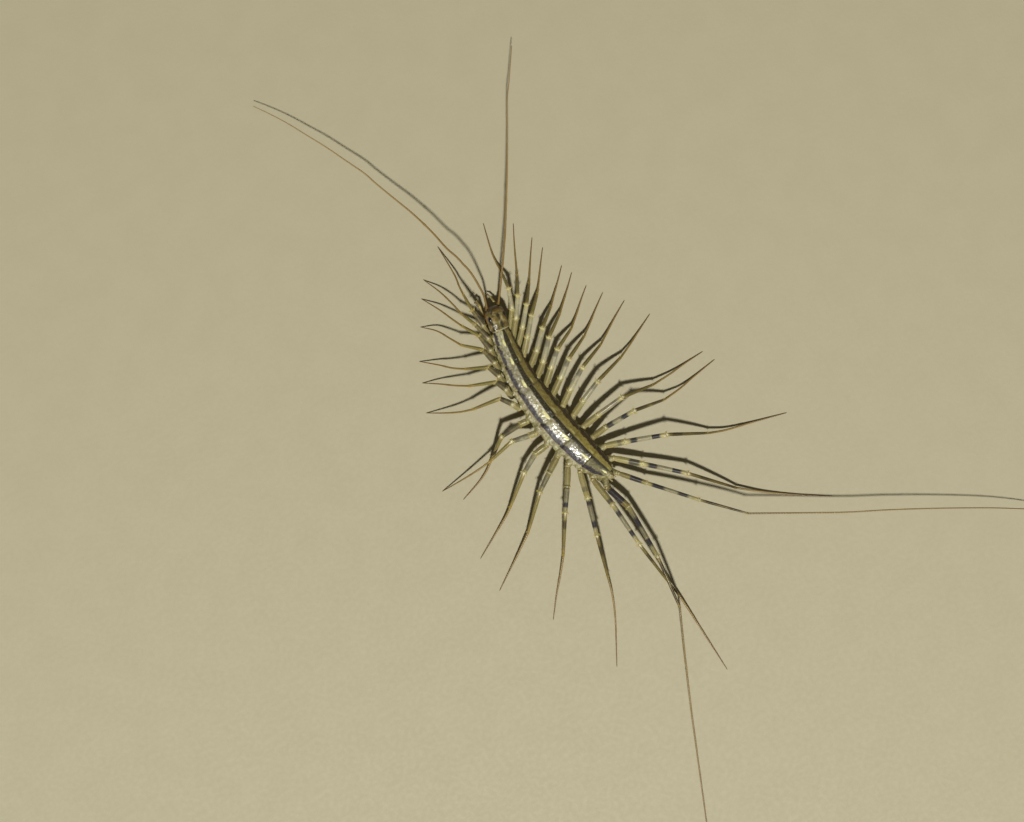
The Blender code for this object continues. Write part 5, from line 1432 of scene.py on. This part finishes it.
def plate_material():
    n = Net("plate_shell", 0.30)
    n.p.inputs["Coat Roughness"].default_value = 0.13
    n.p.inputs["IOR"].default_value = 1.55
    skin_depth(n, 0.08, 0.0002)
    x, w, st = n.attr("lx"), n.attr("lw"), n.attr("st")
    # pattern space: across in mm, along in mm
    v = n.vec(n.math("MULTIPLY", x, 2.0), n.math("MULTIPLY", st, 0.137), 0.0)
    mot = n.noise(1.9, 4.0, 0.62, vec=v, warp=0.4)
    fine = n.noise(6.0, 4.0, 0.65, vec=v)
    speck = n.cells(4.2, vec=v)
    grain = n.noise(9000.0, 3.0, 0.6)
    base = n.ramp(mot, (0.30, (0.190, 0.150, 0.058)), (0.42, (0.26, 0.215, 0.098)), (0.55, (0.35, 0.31, 0.17)),
                  (0.70, (0.50, 0.47, 0.32)))
    base = n.mix(n.step(fine, 0.52, 0.70, 0.0, 0.60), base, (0.19, 0.140, 0.050))
    # the right half, turned from the light, is painted as the shaded side: a plain darker olive in place of the silvery
    # left half (painted shade)
    shaded_right = n.step(x, 0.05, 0.30)
    shade_olive = n.ramp(mot, (0.32, (0.185, 0.140, 0.034)), (0.50, (0.225, 0.178, 0.046)), (0.68, (0.275, 0.225, 0.070)))
    base = n.mix(n.math("MULTIPLY", shaded_right, 0.90), base, shade_olive)
    # silvery flecks, a painted sheen: strong on the lit left half, faint on the shaded right half, thickest on the
    # broad middle plates
    sheen_flecks = n.math("ADD", n.math("MULTIPLY", n.step(speck, 0.10, 0.34, 1.0, 0.0), n.step(fine, 0.34, 0.60, 1.0, 0.25)),
                n.step(mot, 0.58, 0.74, 0.0, 0.6), clamp=True)
    sheen_flecks = n.math("MULTIPLY", sheen_flecks, n.step(shaded_right, 0.0, 1.0, 0.42, 0.04))
    base = n.mix(sheen_flecks, base, (0.70, 0.68, 0.58))
    # brightness gains along the body: brighter on the first and fourth plates as painted highlight, darker toward the
    # last plates as painted shade; the shaded right half takes its own gain, rising toward the rear
    tone = n.ramp(n.math("DIVIDE", st, 232.0), (0.17, (1.20, 1.28, 1.40)), (0.25, (0.86, 0.90, 1.0)), (0.42, (0.84, 0.86, 1.0)),
                  (0.52, (1.45, 1.52, 1.72)), (0.66, (0.82, 0.86, 0.96)), (0.77, (0.54, 0.55, 0.50)), (0.84, (0.38, 0.37, 0.14)))
    base = n.mix(1.0, base, n.mix(shaded_right, tone, n.ramp(n.math("DIVIDE", st, 232.0), (0.50, (1.0, 1.0, 0.94)), (0.80, (1.34, 1.38, 1.12)))),
                 "MULTIPLY")
    # teardrop spots
    sp = n.step(n.math("ADD", n.attr("spot"), n.math("MULTIPLY_ADD", fine, 0.50, -0.25)), 0.18, 0.82)
    base = n.mix(sp, base, n.mix(n.step(fine, 0.35, 0.65), (0.72, 0.66, 0.22), (0.82, 0.79, 0.42)))
    # dark stripes
    rag = n.math("ADD", n.math("MULTIPLY_ADD", fine, 0.50, -0.25), n.math("MULTIPLY_ADD", mot, 0.36, -0.18))
    med = n.step(n.math("ADD", n.attr("med"), n.math("MULTIPLY", rag, 1.0)), 0.20, 0.78)
    edg = n.step(n.math("ADD", n.attr("edge"), n.math("MULTIPLY", rag, 1.3)), 0.26, 0.80)
    med = n.math("MULTIPLY", med, n.step(n.attr("med"), 0.0, 0.10))
    edg = n.math("MULTIPLY", edg, n.step(n.attr("edge"), 0.0, 0.08))
    ink = n.ramp(fine, (0.30, (0.010, 0.009, 0.010)), (0.48, (0.024, 0.020, 0.022)), (0.60, (0.058, 0.050, 0.048)),
                 (0.72, (0.190, 0.162, 0.125)))
    ink_r = n.ramp(fine, (0.30, (0.020, 0.012, 0.005)), (0.52, (0.042, 0.026, 0.010)), (0.74, (0.095, 0.062, 0.026)))
    ink = n.mix(n.step(x, -0.05, 0.05), ink, ink_r)
    ink_m = n.ramp(fine, (0.32, (0.018, 0.015, 0.007)), (0.52, (0.042, 0.036, 0.018)), (0.70, (0.105, 0.090, 0.048)))
    col = n.mix(med, base, ink_m)
    col = n.mix(edg, col, ink)
    # rim and rear edge; the rim keeps its own colour on the left half and is paler on the right half, a painted glint
    rim_and_glint = n.mix(shaded_right, (0.36, 0.29, 0.19), (0.50, 0.375, 0.27))
    col = n.mix(n.step(n.attr("rim"), 0.35, 0.65, 0.0, 0.70), col,
                n.mix(n.step(fine, 0.4, 0.6), rim_and_glint, (0.15, 0.105, 0.065)))
    col = n.mix(n.step(n.attr("rear"), 0.35, 0.70, 0.0, 0.16), col,
                n.mix(n.step(fine, 0.42, 0.58), (0.36, 0.31, 0.20), (0.14, 0.105, 0.065)))
    dull = n.math("ADD", n.step(st, 190.0, 193.0, 0.0, 1.10), n.step(st, 158.0, 164.0, 0.0, 0.50))
    matt = n.math("MULTIPLY", edg, n.step(x, -0.05, 0.05, 1.0, 0.5))
    rgh = n.math("MULTIPLY_ADD", dull, 0.22, n.math("MULTIPLY_ADD", matt, 0.28, n.step(grain, 0.25, 0.75, 0.18, 0.34)))
    h = n.math("ADD", n.math("MULTIPLY", n.cells(2700.0), 0.9), n.math("MULTIPLY", n.noise(3400.0, 3.0, 0.55), 0.9))
    h = n.math("ADD", h, n.math("MULTIPLY", n.cells(7000.0), 0.22))
    nrm = n.bump(h, 0.000045, 0.80)
    return n.done(col, rgh, nrm, Coat_Weight=n.math("MULTIPLY", n.step(dull, 0.0, 1.0, 0.50, 0.05), n.math("MULTIPLY_ADD", matt, -0.90, 1.0)))


def trunk_material():
    n = Net("flank_skin", 0.46)
    n.p.inputs["IOR"].default_value = 1.45
    skin_depth(n, 0.25, 0.0005)
    mot = n.noise(1500.0, 4.0, 0.66)
    fine = n.noise(4200.0, 4.0, 0.6)
    cell = n.cells(5200.0)
    base = n.ramp(mot, (0.40, (0.140, 0.122, 0.038)), (0.49, (0.265, 0.235, 0.090)), (0.58, (0.40, 0.370, 0.195)),
                  (0.68, (0.60, 0.58, 0.41)))
    base = n.mix(n.step(fine, 0.52, 0.68, 0.0, 0.45), base, (0.58, 0.56, 0.39))
    base = n.mix(n.step(cell, 0.30, 0.58, 0.0, 0.25), base, (0.27, 0.20, 0.08))
    # near-black brown in the creases between the hips on the flanks: painted shade between the coxae
    col = n.mix(n.math("MULTIPLY", n.attr("crease"), n.step(n.attr("flank"), 0.2, 0.7, 0.0, 0.85)), base,
                (0.060, 0.036, 0.018))
    col = n.mix(n.step(n.attr("belly"), 0.2, 0.8, 0.0, 0.6), col, (0.44, 0.345, 0.165))
    col = n.mix(n.math("MULTIPLY", n.attr("crease"), n.step(n.attr("belly"), 0.2, 0.7, 0.0, 0.8)), col, (0.11, 0.070, 0.026))
    h = n.math("ADD", n.math("MULTIPLY", cell, -0.35), n.math("MULTIPLY", fine, 0.9))
    return n.done(col, n.step(fine, 0.3, 0.7, 0.36, 0.58), n.bump(h, 0.00005, 0.9))


def head_material():
    n = Net("head_shell", 0.30)
    n.p.inputs["Coat Weight"].default_value = 0.4
    n.p.inputs["Coat Roughness"].default_value = 0.15
    n.p.inputs["IOR"].default_value = 1.54
    skin_depth(n, 0.12, 0.0003)
    mot = n.noise(1300.0, 4.0, 0.62)
    fine = n.noise(5200.0, 4.0, 0.6)
    grain = n.noise(15000.0, 3.0, 0.6)
    base = n.ramp(mot, (0.32, (0.075, 0.052, 0.012)), (0.43, (0.140, 0.108, 0.028)), (0.54, (0.220, 0.180, 0.060)),
                  (0.66, (0.42, 0.38, 0.22)))
    base = n.mix(n.step(fine, 0.54, 0.70, 0.0, 0.40), base, (0.24, 0.135, 0.032))
    base = n.mix(n.math("MULTIPLY", n.attr("warm"), 0.62, clamp=True), base, (0.235, 0.115, 0.016))
    # front darkened to near-black brown: partly its own dark brown, partly painted shade
    base = n.mix(n.math("MULTIPLY", n.attr("front"), 0.92), base, (0.050, 0.024, 0.006))
    base = n.mix(n.math("MULTIPLY", n.attr("pale"), 0.70), base, (0.50, 0.45, 0.28))
    rag = n.math("ADD", n.math("MULTIPLY_ADD", fine, 0.40, -0.20), n.math("MULTIPLY_ADD", mot, 0.30, -0.15))
    dk = n.math("MULTIPLY", n.step(n.math("ADD", n.attr("dark"), rag), 0.26, 0.80), n.step(n.attr("dark"), 0.02, 0.2))
    col = n.mix(n.math("MULTIPLY", dk, 0.93), base,
                n.mix(n.step(fine, 0.4, 0.65), (0.020, 0.016, 0.009), (0.070, 0.054, 0.030)))
    col = n.mix(n.math("MULTIPLY", n.attr("under"), 0.6), col, (0.26, 0.15, 0.05))
    h = n.math("ADD", n.math("MULTIPLY", n.noise(3800.0, 4.0, 0.6), 1.2), n.math("MULTIPLY", grain, 0.4))
    return n.done(col, n.step(grain, 0.25, 0.75, 0.20, 0.40), n.bump(h, 0.00004, 0.8))


def eye_material():
    n = Net("eye_lens", 0.12)
    n.p.inputs["Coat Weight"].default_value = 0.8
    n.p.inputs["Coat Roughness"].default_value = 0.06
    n.p.inputs["IOR"].default_value = 1.56
    f = n.noise(2600.0, 3.0, 0.6)
    col = n.ramp(f, (0.32, (0.004, 0.004, 0.006)), (0.55, (0.009, 0.010, 0.019)), (0.75, (0.024, 0.025, 0.040)))
    col = n.mix(n.step(n.attr("bead"), 0.15, 0.75, 0.8, 0.0), col, (0.003, 0.003, 0.004))
    return n.done(col, n.step(n.noise(16000.0), 0.3, 0.7, 0.08, 0.20), n.bump(n.noise(20000.0), 0.000006, 0.5))


def bristle_material():
    n = Net("body_bristle", 0.35)
    n.p.inputs["IOR"].default_value = 1.54
    f = n.noise(3500.0, 2.0, 0.5)
    pale = n.mix(n.step(f, 0.35, 0.65), (0.36, 0.25, 0.10), (0.20, 0.12, 0.045))
    col = n.mix(n.step(n.attr("rise"), 0.0, 1.0), pale, (0.065, 0.040, 0.022))
    col = n.mix(n.attr("tone"), col, (0.030, 0.022, 0.018))
    return n.done(col, n.step(n.noise(9000.0), 0.3, 0.7, 0.28, 0.42))


FEELER_HUES = ((0.00, (0.170, 0.098, 0.013)), (0.05, (0.195, 0.112, 0.014)), (0.20, (0.235, 0.138, 0.020)),
               (0.45, (0.31, 0.200, 0.048)), (0.75, (0.38, 0.265, 0.105)), (1.0, (0.34, 0.235, 0.10)))
MOUTH_HUES = ((0.00, (0.26, 0.190, 0.055)), (0.18, (0.30, 0.230, 0.075)), (0.32, (0.46, 0.37, 0.09)),
              (0.36, (0.32, 0.245, 0.08)), (0.60, (0.33, 0.265, 0.09)), (0.66, (0.46, 0.37, 0.07)),
              (0.75, (0.32, 0.22, 0.055)), (1.0, (0.24, 0.120, 0.025)))
FANG_HUES = ((0.00, (0.25, 0.175, 0.070)), (0.40, (0.27, 0.175, 0.060)), (0.75, (0.22, 0.105, 0.025)),
             (0.90, (0.10, 0.035, 0.012)), (1.0, (0.03, 0.012, 0.008)))


# ====================================================================== stage
def make_stage():
    cd = bpy.data.cameras.new("camera")
    cd.lens = 89.82
    cd.sensor_width = 36.0
    cd.sensor_fit = "HORIZONTAL"
    cd.clip_start = 0.01
    cd.clip_end = 20.0
    cam = bpy.data.objects.new("camera", cd)
    bpy.context.scene.collection.objects.link(cam)
    x = Vector((ROW_X[0], ROW_Y[0], 0.0)).normalized()
    y = Vector((ROW_X[1], ROW_Y[1], 0.0)).normalized()
    m = Matrix.Identity(4)
    for i in range(3):
        m[i][0], m[i][1], m[i][2] = x[i], y[i], (0.0, 0.0, 1.0)[i]
    m[0][3], m[1][3], m[2][3] = -SHIFT[0] * MM, -SHIFT[1] * MM, PLAN_H * MM
    cam.matrix_world = m
    bpy.context.scene.camera = cam

    n = Net("studio_floor", 0.62)
    f = n.noise(220.0, 4.0, 0.55)
    g = n.noise(1500.0, 4.0, 0.6)
    col = n.mix(n.step(f, 0.3, 0.7), FLOOR_A, FLOOR_B)
    fm = n.done(col, n.step(g, 0.3, 0.7, 0.56, 0.70), n.bump(g, 0.00006, 0.35))
    me = bpy.data.meshes.new("studio_floor")
    me.from_pydata([(-2, -2, -0.00001), (2, -2, -0.00001), (2, 2, -0.00001), (-2, 2, -0.00001)], [], [(0, 1, 2, 3)])
    me.materials.append(fm)
    floor = bpy.data.objects.new("studio_floor", me)
    bpy.context.scene.collection.objects.link(floor)

    def lamp(name, way, dist, size, power, colour=(1, 1, 1)):
        ld = bpy.data.lights.new(name, "AREA")
        ld.shape = "DISK"
        ld.size = size
        ld.energy = power
        ld.color = colour
        ob = bpy.data.objects.new(name, ld)
        bpy.context.scene.collection.objects.link(ob)
        way = Vector(way).normalized()
        ob.location = way * dist
        ob.rotation_euler = way.to_track_quat("Z", "Y").to_euler()
        return ob

    a = math.radians(KEY_TILT)
    lamp("key_light", (0.5355 * math.sin(a), 0.8436 * math.sin(a), math.cos(a)), 1.20, 0.085, KEY_POWER, (1.0, 0.985, 0.955))
    lamp("fill_light", (-0.8436, 0.5355, 1.1), 0.9, 0.6, FILL_POWER, (0.95, 0.97, 1.0))
    world = bpy.data.worlds.new("studio_air")
    world.use_nodes = True
    bg = world.node_tree.nodes["Background"]
    bg.inputs["Color"].default_value = (1.0, 0.92, 0.68, 1.0)
    bg.inputs["Strength"].default_value = AIR
    bpy.context.scene.world = world
    bpy.context.scene.view_settings.view_transform = "Standard"
    bpy.context.scene.view_settings.look = "None"


FLOOR_A, FLOOR_B = (0.425, 0.383, 0.249), (0.436, 0.394, 0.257)
KEY_TILT = 26.6
KEY_POWER = 15.0
FILL_POWER = 0.12
AIR = 0.085


def main():
    make_stage()
    limb = limb_material("limb_shell", LIMB_HUES, hips=1.0)
    feeler = limb_material("feeler_shell", FEELER_HUES, rings=0.36, weight=0.06, rough=0.48)
    mouth = limb_material("mouth_shell", MOUTH_HUES, weight=0.18)
    fang = limb_material("fang_shell", FANG_HUES, weight=0.10, rough=0.24)
    plate, trunk, head = plate_material(), trunk_material(), head_material()
    eye, bristle = eye_material(), bristle_material()

    coats = {k: Coat() for k in ("left", "right", "rear", "feeler", "mouth", "body")}
    for name in sorted(LEGS):
        pair = int(name[1:])
        make_leg(name, coats["rear" if pair > 12 else "left" if name[0] == "l" else "right"], limb)
    for side in ("l", "r"):
        make_antenna(side, coats["feeler"], feeler)
    for side, name in ((-1.0, "forcipule_l"), (1.0, "forcipule_r")):
        make_forcipule(side, name, fang, coats["mouth"])
    for name in sorted(PALPS):
        make_palp(name, mouth, coats["mouth"])
    for i, (a, b) in enumerate(TERGITES):
        make_plate(i, a, b, coats["body"], plate)
    make_trunk(coats["body"], trunk)
    make_tail(trunk, None)
    make_head(coats["body"], head)
    make_eye(-1.0, "eye_l", eye)
    make_eye(1.0, "eye_r", eye)
    piece("coat_legs_left", coats["left"].shape, limb, "leg_front")
    piece("coat_legs_right", coats["right"].shape, limb, "leg_front")
    piece("coat_legs_rear", coats["rear"].shape, limb, "leg_rear")
    piece("coat_feelers", coats["feeler"].shape, feeler, "feeler")
    piece("coat_mouth", coats["mouth"].shape, mouth, "mouthpart")
    piece("coat_body", coats["body"].shape, bristle, "plate")


main()
